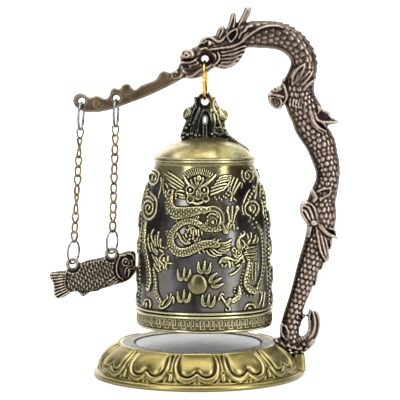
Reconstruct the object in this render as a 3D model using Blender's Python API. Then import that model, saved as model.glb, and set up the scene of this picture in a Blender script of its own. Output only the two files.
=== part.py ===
# Table-top temple bell: a lotus base, a cast dragon arm, a bell hung on a ring from
# the dragon's jaw, and a carp-shaped striker hung on two short chains from the beam
# that the dragon holds in its mouth.
#
# Frame: origin on the table under the centre of the base, +X towards the dragon's
# back, +Y away from the viewer, +Z up. Lengths below are in millimetres and are
# turned into metres when the meshes are made.

import bpy
import bmesh
import math
from mathutils import Vector, Matrix

MM = 0.001

# ---------------------------------------------------------------- driving sizes
BASE_R = 42.5            # radius of the rolled rim
BASE_TOP_Z = 13.2        # height of the ledge round the inlay
DISC_R = 25.7            # inlay disc
DISC_Z = 12.7            # top of the inlay
PAD_R = 34.0
LUG_X0, LUG_X1 = 34.6, 44.2   # socket lug that takes the arm's tenon
LUG_Y0, LUG_Y1 = -4.6, 5.4
LUG_TOP_Z = 9.2
TENON_X0, TENON_X1 = 36.9, 42.1
TENON_Y0, TENON_Y1 = -2.2, 3.0
TENON_BOTTOM_Z = 4.4

BELL_X = 2.6             # bell axis
BELL_LIP_Z = 20.6
BELL_WALL = 2.6
BELL_SEGMENTS = 40

JAW_HOLE = (2.8, 128.1)  # x, z of the hole in the jaw, axis along Y
JAW_HOLE_R = 1.6
RING_WIRE = 1.25         # gold ring between jaw and bell
RING_TOP_Z = 127.45      # wire centre at the ring's top
RING_BOTTOM_Z = 111.70   # wire centre at the ring's bottom, in the crown's eye
RING_YAW = math.radians(4.0)
CROWN_EYE_Z = 110.95
CROWN_EYE_R = 1.6

BEAM_HALF = 1.7          # half thickness of the beam
HOLE_A = (-47.0, 111.1)
HOLE_B = (-33.0, 112.3)
BEAM_HOLE_R = 1.5
JUMP_D = 11.2            # centre-line diameter of the upper jump rings
JUMP_WIRE = 0.95
JUMP_TOP_YAW = math.radians(7.0)
LOW_D = 9.6              # centre-line diameter of the lower jump rings
LOW_WIRE = 0.9
LOW_YAW = math.radians(25.0)
EYE_A = (-51.0, 44.6)    # eyes on the striker's back
EYE_B = (-35.1, 48.9)
EYE_HOLE_R = 1.5
EYE_OUTER_R = 2.85
EYE_HALF = 0.9

LINKS_A = 12
LINKS_B = 11
LINK_WIRE = 0.62
LINK_WIDTH = 3.2
LINK_GAP = 0.12          # play between one link and the next


# ---------------------------------------------------------------- helpers
for ob in list(bpy.data.objects):
    bpy.data.objects.remove(ob, do_unlink=True)


def material(name, rgb, rough, metal):
    m = bpy.data.materials.new(name)
    m.use_nodes = True
    b = m.node_tree.nodes["Principled BSDF"]
    b.inputs["Base Color"].default_value = (rgb[0], rgb[1], rgb[2], 1.0)
    b.inputs["Roughness"].default_value = rough
    b.inputs["Metallic"].default_value = metal
    m.diffuse_color = (rgb[0], rgb[1], rgb[2], 1.0)
    return m


BRASS = (0.36, 0.31, 0.13)
BRONZE = (0.20, 0.15, 0.11)


def add(name, mesh, mat, smooth=True):
    ob = bpy.data.objects.new(name, mesh)
    bpy.context.scene.collection.objects.link(ob)
    if mat is not None:
        mesh.materials.clear()
        mesh.materials.append(mat)
    if smooth:
        mesh.shade_smooth()
        mesh.set_sharp_from_angle(angle=math.radians(35.0))
    return ob


def mesh_of(bm, name):
    bmesh.ops.remove_doubles(bm, verts=bm.verts, dist=1e-7)
    bmesh.ops.recalc_face_normals(bm, faces=bm.faces)
    me = bpy.data.meshes.new(name)
    bm.to_mesh(me)
    bm.free()
    return me


def turned(name, profile, segments, cx=0.0, cy=0.0, cz=0.0):
    """Closed (r, z) outline turned about the vertical line through cx, cy."""
    bm = bmesh.new()
    rings = []
    for r, z in profile:
        if r < 1e-6:
            v = bm.verts.new((cx * MM, cy * MM, (z + cz) * MM))
            rings.append([v])
        else:
            ring = []
            for k in range(segments):
                a = 2.0 * math.pi * k / segments
                ring.append(bm.verts.new(((cx + r * math.cos(a)) * MM,
                                          (cy + r * math.sin(a)) * MM, (z + cz) * MM)))
            rings.append(ring)
    n = len(rings)
    for i in range(n):
        a, b = rings[i], rings[(i + 1) % n]
        if len(a) == 1 and len(b) == 1:
            continue
        for k in range(segments):
            k2 = (k + 1) % segments
            if len(a) == 1:
                bm.faces.new((a[0], b[k], b[k2]))
            elif len(b) == 1:
                bm.faces.new((a[k], b[0], a[k2]))
            else:
                bm.faces.new((a[k], b[k], b[k2], a[k2]))
    return mesh_of(bm, name)


def plate(name, outline, y0, y1, chamfer=0.0):
    """Outline in x, z pushed from y0 to y1, with chamfered long edges."""
    bm = bmesh.new()
    vs = [bm.verts.new((x * MM, y0 * MM, z * MM)) for x, z in outline]
    f = bm.faces.new(vs)
    out = bmesh.ops.extrude_face_region(bm, geom=[f])
    moved = [g for g in out["geom"] if isinstance(g, bmesh.types.BMVert)]
    bmesh.ops.translate(bm, verts=moved, vec=(0.0, (y1 - y0) * MM, 0.0))
    if chamfer > 0.0:
        rim = [e for e in bm.edges
               if abs(e.verts[0].co.y - e.verts[1].co.y) < 1e-9]
        bmesh.ops.bevel(bm, geom=rim, offset=chamfer * MM, segments=1,
                        profile=0.5, affect="EDGES", clamp_overlap=True)
    return mesh_of(bm, name)


def frame_at(points, i):
    n = len(points)
    a = points[max(i - 1, 0)]
    b = points[min(i + 1, n - 1)]
    return (b - a).normalized()


def limb(name, stations, sides=8, squash=0.85):
    """Loft of ellipses along stations (x, y, z, half width), capped at both ends."""
    pts = [Vector((s[0], s[1], s[2])) for s in stations]
    bm = bmesh.new()
    loops = []
    for i, s in enumerate(stations):
        t = frame_at(pts, i)
        side = Vector((0.0, 1.0, 0.0))
        side = (side - t * side.dot(t)).normalized()
        up = t.cross(side).normalized()
        loop = []
        for k in range(sides):
            a = 2.0 * math.pi * (k + 0.5) / sides
            p = pts[i] + up * (s[3] * math.cos(a)) + side * (s[3] * squash * math.sin(a))
            loop.append(bm.verts.new(p * MM))
        loops.append(loop)
    for a, b in zip(loops, loops[1:]):
        for k in range(sides):
            k2 = (k + 1) % sides
            bm.faces.new((a[k], b[k], b[k2], a[k2]))
    bm.faces.new(loops[0])
    bm.faces.new(list(reversed(loops[-1])))
    return mesh_of(bm, name)


def boolean(target, tool, operation):
    """Exact Boolean of two objects, applied to the target; the tool is removed."""
    m = target.modifiers.new("cut", "BOOLEAN")
    m.operation = operation
    m.solver = "EXACT"
    m.object = tool
    bpy.context.view_layer.update()
    dep = bpy.context.evaluated_depsgraph_get()
    done = bpy.data.meshes.new_from_object(target.evaluated_get(dep))
    target.modifiers.clear()
    target.data = done
    bpy.data.objects.remove(tool, do_unlink=True)


def tool(mesh):
    return add("tool", mesh, None, smooth=False)


def drum(r, y0, y1, x, z, segments=20, r1=None):
    """Round cutter along Y, or a cone when r1 is given for its far end."""
    bm = bmesh.new()
    r1 = r if r1 is None else r1
    a = [bm.verts.new(((x + r * math.cos(2 * math.pi * k / segments)) * MM, y0 * MM,
                       (z + r * math.sin(2 * math.pi * k / segments)) * MM)) for k in range(segments)]
    b = [bm.verts.new(((x + r1 * math.cos(2 * math.pi * k / segments)) * MM, y1 * MM,
                       (z + r1 * math.sin(2 * math.pi * k / segments)) * MM)) for k in range(segments)]
    for k in range(segments):
        k2 = (k + 1) % segments
        bm.faces.new((a[k], a[k2], b[k2], b[k]))
    bm.faces.new(a)
    bm.faces.new(list(reversed(b)))
    return tool(mesh_of(bm, "drum"))


def flared(r, y_in, r_out, y_out, x, z, segments=16):
    """Cutter along Y: straight in the middle, widening to both sides."""
    bm = bmesh.new()
    loops = []
    for y, q in ((-y_out, r_out), (-y_in, r), (y_in, r), (y_out, r_out)):
        loops.append([bm.verts.new(((x + q * math.cos(2 * math.pi * k / segments)) * MM, y * MM,
                                    (z + q * math.sin(2 * math.pi * k / segments)) * MM))
                      for k in range(segments)])
    for a, b in zip(loops, loops[1:]):
        for k in range(segments):
            k2 = (k + 1) % segments
            bm.faces.new((a[k], a[k2], b[k2], b[k]))
    bm.faces.new(loops[0])
    bm.faces.new(list(reversed(loops[-1])))
    return tool(mesh_of(bm, "flared"))


def block(x0, x1, y0, y1, z0, z1):
    bm = bmesh.new()
    bmesh.ops.create_cube(bm, size=1.0)
    for v in bm.verts:
        v.co = Vector((((x0 + x1) / 2 + v.co.x * (x1 - x0)) * MM,
                       ((y0 + y1) / 2 + v.co.y * (y1 - y0)) * MM,
                       ((z0 + z1) / 2 + v.co.z * (z1 - z0)) * MM))
    return mesh_of(bm, "block")


def loop_curve(name, points, wire, mat, parent=None, resolution=1):
    """Closed round-wire loop through points given about the object's own origin."""
    cu = bpy.data.curves.new(name, "CURVE")
    cu.dimensions = "3D"
    cu.bevel_depth = wire * 0.5 * MM
    cu.bevel_resolution = resolution
    sp = cu.splines.new("POLY")
    sp.points.add(len(points) - 1)
    for p, q in zip(sp.points, points):
        p.co = (q[0] * MM, q[1] * MM, q[2] * MM, 1.0)
    sp.use_cyclic_u = True
    cu.materials.append(mat)
    ob = bpy.data.objects.new(name, cu)
    bpy.context.scene.collection.objects.link(ob)
    if parent is not None:
        ob.parent = parent
    return ob


def ring_points(d, n=20):
    """Circle of diameter d in the local YZ plane, its top at the local origin."""
    r = d / 2.0
    return [(0.0, r * math.sin(2 * math.pi * k / n), -r + r * math.cos(2 * math.pi * k / n))
            for k in range(n)]


def link_points(length, width, wire, n_arc=5):
    """Oval link in the local XZ plane about its centre."""
    rx = (width - wire) / 2.0
    straight = (length - wire) / 2.0 - rx
    pts = []
    for k in range(n_arc + 1):
        a = math.pi * k / n_arc
        pts.append((rx * math.cos(a), 0.0, straight + rx * math.sin(a)))
    for k in range(n_arc + 1):
        a = math.pi + math.pi * k / n_arc
        pts.append((rx * math.cos(a), 0.0, -straight + rx * math.sin(a)))
    return pts


# ---------------------------------------------------------------- materials
M_BASE = material("antique_brass_base", (0.40, 0.33, 0.13), 0.33, 1.0)
M_BELL = material("antique_brass_bell", BRASS, 0.36, 1.0)
M_ARM = material("antique_bronze", BRONZE, 0.42, 1.0)
M_FISH = material("antique_bronze_fish", (0.17, 0.13, 0.10), 0.42, 1.0)
M_CROWN = material("blackened_brass", (0.05, 0.05, 0.045), 0.35, 1.0)
M_DISC = material("polished_steel", (0.66, 0.68, 0.69), 0.12, 1.0)
M_GOLD = material("gilt_wire", (0.80, 0.50, 0.12), 0.18, 1.0)
M_STEEL = material("steel_wire", (0.50, 0.50, 0.50), 0.25, 1.0)
M_CHAIN = material("brass_chain", (0.45, 0.33, 0.18), 0.30, 1.0)
M_PAD = material("felt", (0.05, 0.05, 0.05), 0.95, 0.0)
M_SCREW = material("screw_steel", (0.45, 0.45, 0.46), 0.30, 1.0)

# ---------------------------------------------------------------- lotus base
# Hollow turned casting: rolled rim, petal slope, ledge, recess for the inlay,
# and a shallow seat underneath for the pad.
base_profile = [
    (BASE_R - 0.8, 0.3), (BASE_R, 1.3), (BASE_R - 0.4, 2.4), (BASE_R - 1.6, 3.0),
    (BASE_R - 2.2, 3.4), (40.2, 5.6), (38.0, 8.4), (35.2, 11.0), (32.2, 12.9),
    (31.2, BASE_TOP_Z), (26.6, BASE_TOP_Z), (26.2, DISC_Z - 0.2), (26.0, 11.2), (0.0, 11.2),
    (0.0, 8.8), (30.5, 8.8), (35.4, 6.6), (37.4, 4.4), (37.4, 0.3),
]
base = add("base_casting", turned("base_casting", base_profile, 48), M_BASE)
lug = plate("lug", [(LUG_X0, 0.5), (LUG_X1, 0.5), (LUG_X1 - 0.6, LUG_TOP_Z), (LUG_X0, LUG_TOP_Z)],
            LUG_Y0, LUG_Y1)
boolean(base, tool(lug), "UNION")
boolean(base, tool(block(TENON_X0 - 0.3, TENON_X1 + 0.3, TENON_Y0 - 0.3, TENON_Y1 + 0.3,
                         TENON_BOTTOM_Z - 0.3, 20.0)), "DIFFERENCE")
screw_x = (TENON_X0 + TENON_X1) / 2
screw_y = (TENON_Y0 + TENON_Y1) / 2
boolean(base, tool(turned("bore", [(0.0, 8.0), (1.5, 8.0), (1.5, -1.0), (0.0, -1.0)], 16,
                          screw_x, screw_y)), "DIFFERENCE")
boolean(base, tool(turned("head_seat", [(0.0, 2.6), (2.7, 2.6), (2.7, -1.0), (0.0, -1.0)], 16,
                          screw_x, screw_y)), "DIFFERENCE")
base.data.materials.clear()
base.data.materials.append(M_BASE)
base.data.shade_smooth()
base.data.set_sharp_from_angle(angle=math.radians(35.0))

add("inlay_disc", turned("inlay_disc", [(0.0, DISC_Z), (DISC_R - 0.3, DISC_Z), (DISC_R, DISC_Z - 0.3),
                                        (DISC_R, 11.5), (0.0, 11.5)], 48), M_DISC)
add("base_pad", turned("base_pad", [(0.0, 1.8), (PAD_R, 1.8), (PAD_R, 0.0), (0.0, 0.0)], 40), M_PAD)
add("arm_screw", turned("arm_screw", [(0.0, 8.4), (1.15, 8.4), (1.15, 2.3), (2.35, 2.3), (2.35, 0.8),
                                      (0.0, 0.8)], 14, screw_x, screw_y), M_SCREW)

# ---------------------------------------------------------------- dragon arm
# Spine of the body from behind the head, over the bow and down to the foot:
# x, z and half width in the plane of the arm.
SPINE = [
    (12.0, 133.5, 3.8), (15.4, 135.6, 4.8), (19.7, 137.2, 5.2), (26.2, 138.0, 5.4), (33.1, 137.2, 5.3),
    (38.2, 134.8, 5.1), (41.7, 130.6, 5.1), (42.7, 126.2, 5.3), (42.1, 122.2, 5.8),
    (41.0, 117.6, 6.1), (41.2, 113.2, 6.5), (42.1, 109.1, 6.8), (43.7, 105.2, 6.8),
    (45.2, 101.2, 6.3), (47.0, 97.6, 5.9), (49.5, 93.4, 5.7), (51.6, 88.0, 5.0),
    (52.4, 83.3, 4.8), (52.2, 78.9, 4.8), (51.0, 74.0, 5.2), (49.8, 69.9, 5.9),
    (49.5, 65.2, 6.6), (49.6, 59.8, 5.9), (48.7, 53.6, 5.6), (47.2, 48.0, 5.4),
    (44.9, 41.5, 4.9), (42.4, 35.0, 4.5), (39.8, 29.3, 3.9), (38.0, 24.0, 3.8),
    (37.4, 19.0, 3.9), (38.0, 15.0, 4.6), (39.2, 12.4, 4.3), (39.6, 10.4, 3.2),
]
arm = add("dragon_arm", limb("spine", [(x, 0.0, z, r) for x, z, r in SPINE], 8, 0.82), M_ARM)

# Beam held in the mouth: a flat blade with a scalloped upper edge and a round end.
BEAM = [
    (-50.8, 111.4), (-50.2, 113.4), (-48.4, 114.4), (-46.3, 114.4), (-44.1, 112.5), (-40.9, 113.2),
    (-37.6, 111.9), (-35.8, 114.2), (-33.9, 116.5), (-31.1, 115.7), (-28.9, 118.3), (-25.2, 116.1),
    (-16.9, 119.7), (-14.0, 123.4), (-11.3, 122.7), (-7.3, 124.0), (-2.0, 126.0), (-2.0, 121.6),
    (-5.7, 120.7), (-12.6, 117.2), (-19.8, 113.6), (-25.2, 111.0), (-31.4, 108.8), (-36.2, 107.4),
    (-40.9, 106.7), (-45.9, 106.9), (-48.8, 107.7), (-50.4, 109.3),
]
boolean(arm, tool(plate("beam", BEAM, -BEAM_HALF, BEAM_HALF, 0.4)), "UNION")

# Head: nose, brow, cheek, lower jaw and the fan of the beard.
HEAD = [
    (-8.1, 122.4), (-6.9, 126.0), (-6.9, 129.7), (-4.1, 132.3), (0.3, 131.0), (0.6, 135.0), (2.4, 137.0),
    (6.7, 137.9), (8.5, 141.1), (11.2, 141.2), (16.0, 141.8), (20.0, 141.0), (20.0, 131.6), (18.2, 128.4),
    (15.4, 125.8), (12.2, 124.6), (7.7, 125.0), (4.1, 122.8), (0.8, 120.5), (-2.8, 120.1), (-5.7, 121.1),
]
boolean(arm, tool(plate("head", HEAD, -3.7, 3.7, 1.1)), "UNION")
HORNS = [
    [(9.5, 0.5, 139.5, 2.1), (12.0, 0.9, 143.5, 1.8), (14.2, 1.1, 147.0, 1.0)],
    [(14.0, -1.2, 139.5, 1.9), (17.6, -1.6, 144.2, 1.5), (20.8, -1.9, 149.2, 1.1)],
]
for h in HORNS:
    boolean(arm, tool(limb("horn", h, 6, 0.9)), "UNION")

# Front paw that grips forward, rear claw spikes, thigh, toes and the curled tail.
PAW = [(36.5, -0.6, 115.5, 3.2), (33.0, -1.4, 113.2, 4.0), (30.2, -1.6, 111.8, 3.6), (28.4, -1.4, 111.0, 2.0)]
CLAW = [(48.0, -0.8, 104.0, 2.6), (52.0, -1.2, 102.2, 2.2), (57.0, -1.4, 102.4, 0.7)]
THIGH = [(43.4, -2.2, 66.5, 2.0), (46.2, -3.0, 62.0, 2.6), (51.0, -3.2, 57.4, 2.0), (56.4, -2.2, 55.8, 0.8)]
TAIL = [(40.2, 0.3, 12.6, 2.6), (43.6, 0.3, 14.2, 2.5), (46.6, 0.2, 17.0, 2.4), (48.0, 0.0, 21.0, 2.2),
        (47.8, 0.0, 25.4, 1.4)]
for s in (PAW, CLAW, THIGH):
    boolean(arm, tool(limb("part", s, 6, 0.9)), "UNION")
boolean(arm, tool(limb("tail", TAIL, 6, 0.9)), "UNION")

TOE = [(36.5, -1.0, 17.5, 2.2), (33.6, -1.2, 15.4, 2.0), (31.3, -1.2, 14.6, 1.0)]
boolean(arm, tool(limb("toe", TOE, 6, 0.9)), "UNION")
# The foot is cut back to follow the slope of the base with a small gap.
boolean(arm, tool(turned("slope", [(0.0, 13.62), (31.35, 13.6), (32.45, 13.2), (35.6, 11.25), (38.4, 8.6),
                                   (40.6, 5.8), (42.0, 3.0), (42.0, -2.0), (0.0, -2.0)], 48)), "DIFFERENCE")
boolean(arm, tool(block(30.0, 46.0, -12.0, 12.0, -3.0, LUG_TOP_Z + 0.3)), "DIFFERENCE")

# Tenon that sits in the socket lug, tapped from below for the screw.
boolean(arm, tool(block(TENON_X0, TENON_X1, TENON_Y0, TENON_Y1, TENON_BOTTOM_Z, 12.6)), "UNION")
boolean(arm, tool(turned("tap", [(0.0, 9.6), (1.45, 9.6), (1.45, 2.0), (0.0, 2.0)], 14,
                         screw_x, screw_y)), "DIFFERENCE")

# Holes: two in the beam, one countersunk from both sides in the jaw.
boolean(arm, drum(BEAM_HOLE_R, -4.0, 4.0, HOLE_A[0], HOLE_A[1], 16), "DIFFERENCE")
boolean(arm, drum(BEAM_HOLE_R, -4.0, 4.0, HOLE_B[0], HOLE_B[1], 16), "DIFFERENCE")
boolean(arm, flared(JAW_HOLE_R, 1.5, JAW_HOLE_R + 4.0, 5.5, JAW_HOLE[0], JAW_HOLE[1]), "DIFFERENCE")
arm.data.materials.clear()
arm.data.materials.append(M_ARM)
arm.data.shade_smooth()
arm.data.set_sharp_from_angle(angle=math.radians(35.0))

# ---------------------------------------------------------------- bell
# Wall outline: outer side from the lip up over the shoulder ring and dome,
# then back down the inner side.
outer = [
    (27.3, BELL_LIP_Z), (27.6, 22.8), (27.45, 30.0), (27.15, 45.5), (26.8, 54.7), (26.2, 64.0),
    (24.8, 71.8), (22.6, 79.4), (20.5, 86.0), (20.3, 87.6), (19.4, 88.6), (17.6, 90.8), (13.2, 94.0),
    (8.0, 95.8), (0.0, 96.4),
]
inner = [
    (0.0, 96.4 - BELL_WALL), (7.6, 93.0), (12.2, 91.2), (16.2, 87.8), (18.2, 83.6), (20.0, 78.6),
    (22.2, 71.2), (23.6, 63.4), (24.2, 54.4), (24.55, 45.0), (24.85, 30.0), (24.9, BELL_LIP_Z),
]
bell = add("bell_body", turned("bell_body", outer + inner, BELL_SEGMENTS, BELL_X, 0.0), M_BELL)
boolean(bell, tool(turned("stud_hole", [(0.0, 99.0), (1.6, 99.0), (1.6, 90.0), (0.0, 90.0)], 14,
                          BELL_X, 0.0)), "DIFFERENCE")
bell.data.materials.clear()
bell.data.materials.append(M_BELL)
bell.data.shade_smooth()
bell.data.set_sharp_from_angle(angle=math.radians(35.0))

# Crown: a two-headed beast saddle whose bodies meet at the eye that the ring holds.
CROWN = [
    (-6.6, 97.0), (-6.4, 99.6), (-5.4, 103.6), (-5.9, 106.2), (-5.0, 108.6), (-2.6, 109.6), (-0.6, 112.4),
    (1.2, 114.8), (3.9, 115.2), (5.2, 113.6), (6.6, 110.6), (9.4, 109.0), (11.4, 107.2), (10.6, 104.2),
    (10.2, 101.2), (11.6, 98.4), (12.6, 97.0),
]
crown = add("bell_crown", plate("crown", CROWN, -3.4, 3.4, 1.0), M_CROWN)
boolean(crown, tool(turned("foot", [(0.0, 99.4), (7.6, 99.2), (9.4, 97.8), (9.4, 96.0), (0.0, 96.0)], 20,
                           BELL_X, 0.0)), "UNION")
boolean(crown, flared(CROWN_EYE_R, 0.45, CROWN_EYE_R + 2.4, 4.5, JAW_HOLE[0], CROWN_EYE_Z), "DIFFERENCE")
boolean(crown, drum(0.8, -6.0, 6.0, JAW_HOLE[0], 103.6, 10), "DIFFERENCE")
# underside follows the dome with a small gap
boolean(crown, tool(turned("dome", [(0.0, 96.75), (8.05, 96.15), (13.4, 94.35), (18.0, 91.0), (18.0, 85.0),
                                    (0.0, 85.0)], BELL_SEGMENTS, BELL_X, 0.0)), "DIFFERENCE")
boolean(crown, tool(turned("tap", [(0.0, 101.2), (1.5, 101.2), (1.5, 92.0), (0.0, 92.0)], 14,
                           BELL_X, 0.0)), "DIFFERENCE")
crown.data.materials.clear()
crown.data.materials.append(M_CROWN)
crown.data.shade_smooth()
crown.data.set_sharp_from_angle(angle=math.radians(35.0))
add("crown_screw", turned("crown_screw", [(0.0, 100.6), (1.2, 100.6), (1.2, 92.9), (3.2, 92.9), (3.2, 91.4),
                                          (0.0, 91.4)], 14, BELL_X, 0.0), M_SCREW)

# The bell group turns about the ring's lowest wire; its origin sits there.
pivot_bell = bpy.data.objects.new("bell_sway_axis", None)
pivot_bell.location = (JAW_HOLE[0] * MM, 0.0, RING_BOTTOM_Z * MM)
bpy.context.scene.collection.objects.link(pivot_bell)
bpy.context.view_layer.update()
for n in ("bell_body", "bell_crown", "crown_screw"):
    ob = bpy.data.objects[n]
    ob.parent = pivot_bell
    ob.matrix_parent_inverse = Matrix.Translation(-pivot_bell.location)

# ---------------------------------------------------------------- rings and chains
ring = loop_curve("bell_ring", ring_points(RING_TOP_Z - RING_BOTTOM_Z, 24), RING_WIRE, M_GOLD)
ring.location = (JAW_HOLE[0] * MM, 0.0, RING_TOP_Z * MM)
ring.rotation_euler = (0.0, 0.0, -RING_YAW)


def strand(tag, top, bottom, count, low_wire_z):
    """Upper jump ring, chain links and lower jump ring along one straight line."""
    a = Vector((top[0], 0.0, top[1]))
    b = Vector((bottom[0], 0.0, low_wire_z))
    line = b - a
    length = line.length
    tilt = math.atan2(-line.x, -line.z)          # rotation about +Y of a hanging strand
    axis = bpy.data.objects.new("strand_%s_axis" % tag, None)
    axis.location = a * MM
    axis.rotation_euler = (0.0, tilt, 0.0)
    bpy.context.scene.collection.objects.link(axis)
    up = loop_curve("ring_%s_top" % tag, ring_points(JUMP_D), JUMP_WIRE, M_STEEL, axis)
    up.rotation_euler = (0.0, 0.0, -JUMP_TOP_YAW)
    low = loop_curve("ring_%s_bottom" % tag, ring_points(LOW_D), LOW_WIRE, M_STEEL, axis)
    low.location = (0.0, 0.0, (-length + LOW_D) * MM)
    low.rotation_euler = (0.0, 0.0, -LOW_YAW)
    first = -JUMP_D + (JUMP_WIRE + LINK_WIRE) / 2 + LINK_GAP       # top wire of the first link
    last = -length + LOW_D - (LOW_WIRE + LINK_WIRE) / 2 - LINK_GAP  # bottom wire of the last link
    pitch = (first - last - LINK_WIRE - LINK_GAP) / count
    span = pitch + LINK_WIRE + LINK_GAP                            # wire centre to wire centre
    pts = link_points(span + LINK_WIRE, LINK_WIDTH, LINK_WIRE)
    want = -LOW_YAW + JUMP_TOP_YAW
    turns = (count - 1) * math.pi / 2.0
    extra = (want - turns) % math.pi
    if extra > math.pi / 2.0:
        extra -= math.pi
    step = math.pi / 2.0 + extra / (count - 1)
    for k in range(count):
        ln = loop_curve("link_%s_%02d" % (tag, k + 1), pts, LINK_WIRE, M_CHAIN, axis)
        ln.location = (0.0, 0.0, (first - span / 2.0 - k * pitch) * MM)
        ln.rotation_euler = (0.0, 0.0, -JUMP_TOP_YAW + k * step)


strand("a", (HOLE_A[0], HOLE_A[1] - 0.5), EYE_A, LINKS_A, EYE_A[1] + 0.35)
strand("b", (HOLE_B[0], HOLE_B[1] - 0.5), EYE_B, LINKS_B, EYE_B[1] + 0.2)

# ---------------------------------------------------------------- carp striker
FISH = [
    (-59.8, 41.5), (-57.7, 41.1), (-53.9, 42.0), (-45.9, 44.9), (-38.0, 47.7), (-32.1, 49.6), (-27.6, 50.3),
    (-25.7, 49.2), (-25.25, 46.8), (-25.35, 43.1), (-26.4, 40.7), (-27.9, 38.4), (-33.1, 36.3), (-40.1, 34.0),
    (-44.3, 33.5), (-47.4, 31.6), (-49.2, 33.5), (-51.3, 33.3), (-53.9, 32.3), (-57.5, 30.7), (-58.6, 36.3),
]
FISH_PIVOT = (EYE_A[0], 0.0, EYE_A[1] + 0.35)
fish = add("fish_striker", plate("fish", FISH, -3.3, 3.3, 1.2), M_FISH)
for ex, ez in (EYE_A, EYE_B):
    boolean(fish, drum(EYE_OUTER_R, -EYE_HALF, EYE_HALF, ex, ez, 14), "UNION")
for ex, ez in (EYE_A, EYE_B):
    boolean(fish, drum(EYE_HOLE_R, -3.0, 3.0, ex, ez, 14), "DIFFERENCE")
    for side in (-1, 1):
        y0, y1 = (EYE_HALF, 6.0) if side > 0 else (-6.0, -EYE_HALF)
        boolean(fish, drum(EYE_OUTER_R - 0.2, y0, y1, ex, ez, 14), "DIFFERENCE")
fish.data.materials.clear()
fish.data.materials.append(M_FISH)
fish.data.transform(Matrix.Translation((-FISH_PIVOT[0] * MM, 0.0, -FISH_PIVOT[2] * MM)))
fish.location = (FISH_PIVOT[0] * MM, 0.0, FISH_PIVOT[2] * MM)
fish.data.shade_smooth()
fish.data.set_sharp_from_angle(angle=math.radians(35.0))
bpy.context.view_layer.update()
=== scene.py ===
import math
import bpy
import bmesh
import numpy as np
from mathutils import Vector, Matrix


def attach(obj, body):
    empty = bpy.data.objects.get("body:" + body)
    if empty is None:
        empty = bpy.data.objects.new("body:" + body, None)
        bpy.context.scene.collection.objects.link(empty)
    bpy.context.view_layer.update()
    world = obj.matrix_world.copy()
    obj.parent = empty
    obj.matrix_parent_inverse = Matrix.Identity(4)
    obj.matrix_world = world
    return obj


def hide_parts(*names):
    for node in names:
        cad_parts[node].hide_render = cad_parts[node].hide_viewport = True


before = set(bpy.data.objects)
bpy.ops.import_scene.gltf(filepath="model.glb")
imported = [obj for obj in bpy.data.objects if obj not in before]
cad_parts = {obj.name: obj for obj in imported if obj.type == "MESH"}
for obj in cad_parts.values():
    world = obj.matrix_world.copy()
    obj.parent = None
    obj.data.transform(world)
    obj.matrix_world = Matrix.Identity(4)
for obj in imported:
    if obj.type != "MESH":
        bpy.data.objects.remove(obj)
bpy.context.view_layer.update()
MM = 0.001

# Drawing sheet: the relief drawings below use sheet units, 2.46 to the millimetre,
# with the sheet's y running down from the top. Only the conversion knows this.
SHEET = 2.46
SX, SY = 198.0, 374.0


def sh(p):
    p = np.asarray(p, float)
    q = p.copy()
    q[..., 0] = (p[..., 0] - SX) / SHEET
    q[..., 1] = (SY - p[..., 1]) / SHEET
    if p.shape[-1] > 2:
        q[..., 2:] = p[..., 2:] / SHEET
    return q


# ------------------------------------------------------------------ curves
def spline(pts, step=0.4, closed=False):
    """Catmull-Rom curve through points (any number of columns), sampled evenly."""
    P = np.asarray(pts, float)
    if closed:
        P = np.vstack([P[-1], P, P[0], P[1]])
    else:
        P = np.vstack([2 * P[0] - P[1], P, 2 * P[-1] - P[-2]])
    out = []
    for i in range(1, len(P) - 2):
        p0, p1, p2, p3 = P[i - 1], P[i], P[i + 1], P[i + 2]
        n = max(2, int(np.linalg.norm(p2[:2] - p1[:2]) / step) + 1)
        t = np.linspace(0, 1, n, endpoint=False)[:, None]
        out.append(0.5 * ((2 * p1) + (-p0 + p2) * t + (2 * p0 - 5 * p1 + 4 * p2 - p3) * t ** 2
                          + (-p0 + 3 * p1 - 3 * p2 + p3) * t ** 3))
    if not closed:
        out.append(P[-2][None])
    return np.vstack(out)


def smoothstep(a, b, x):
    t = np.clip((x - a) / (b - a), 0, 1)
    return t * t * (3 - 2 * t)


def vnoise(x, y, seed=0):
    """Smooth value noise on arrays, period free, repeatable."""
    xi, yi = np.floor(x).astype(np.int64), np.floor(y).astype(np.int64)
    xf, yf = x - xi, y - yi

    def h(a, b):
        n = (a * 374761393 + b * 668265263 + seed * 974634777) & 0x7FFFFFFF
        n = (n ^ (n >> 13)) * 1274126177 & 0x7FFFFFFF
        return ((n ^ (n >> 16)) & 0xFFFF) / 65535.0
    u, v = xf * xf * (3 - 2 * xf), yf * yf * (3 - 2 * yf)
    return (h(xi, yi) * (1 - u) + h(xi + 1, yi) * u) * (1 - v) + \
           (h(xi, yi + 1) * (1 - u) + h(xi + 1, yi + 1) * u) * v


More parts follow.
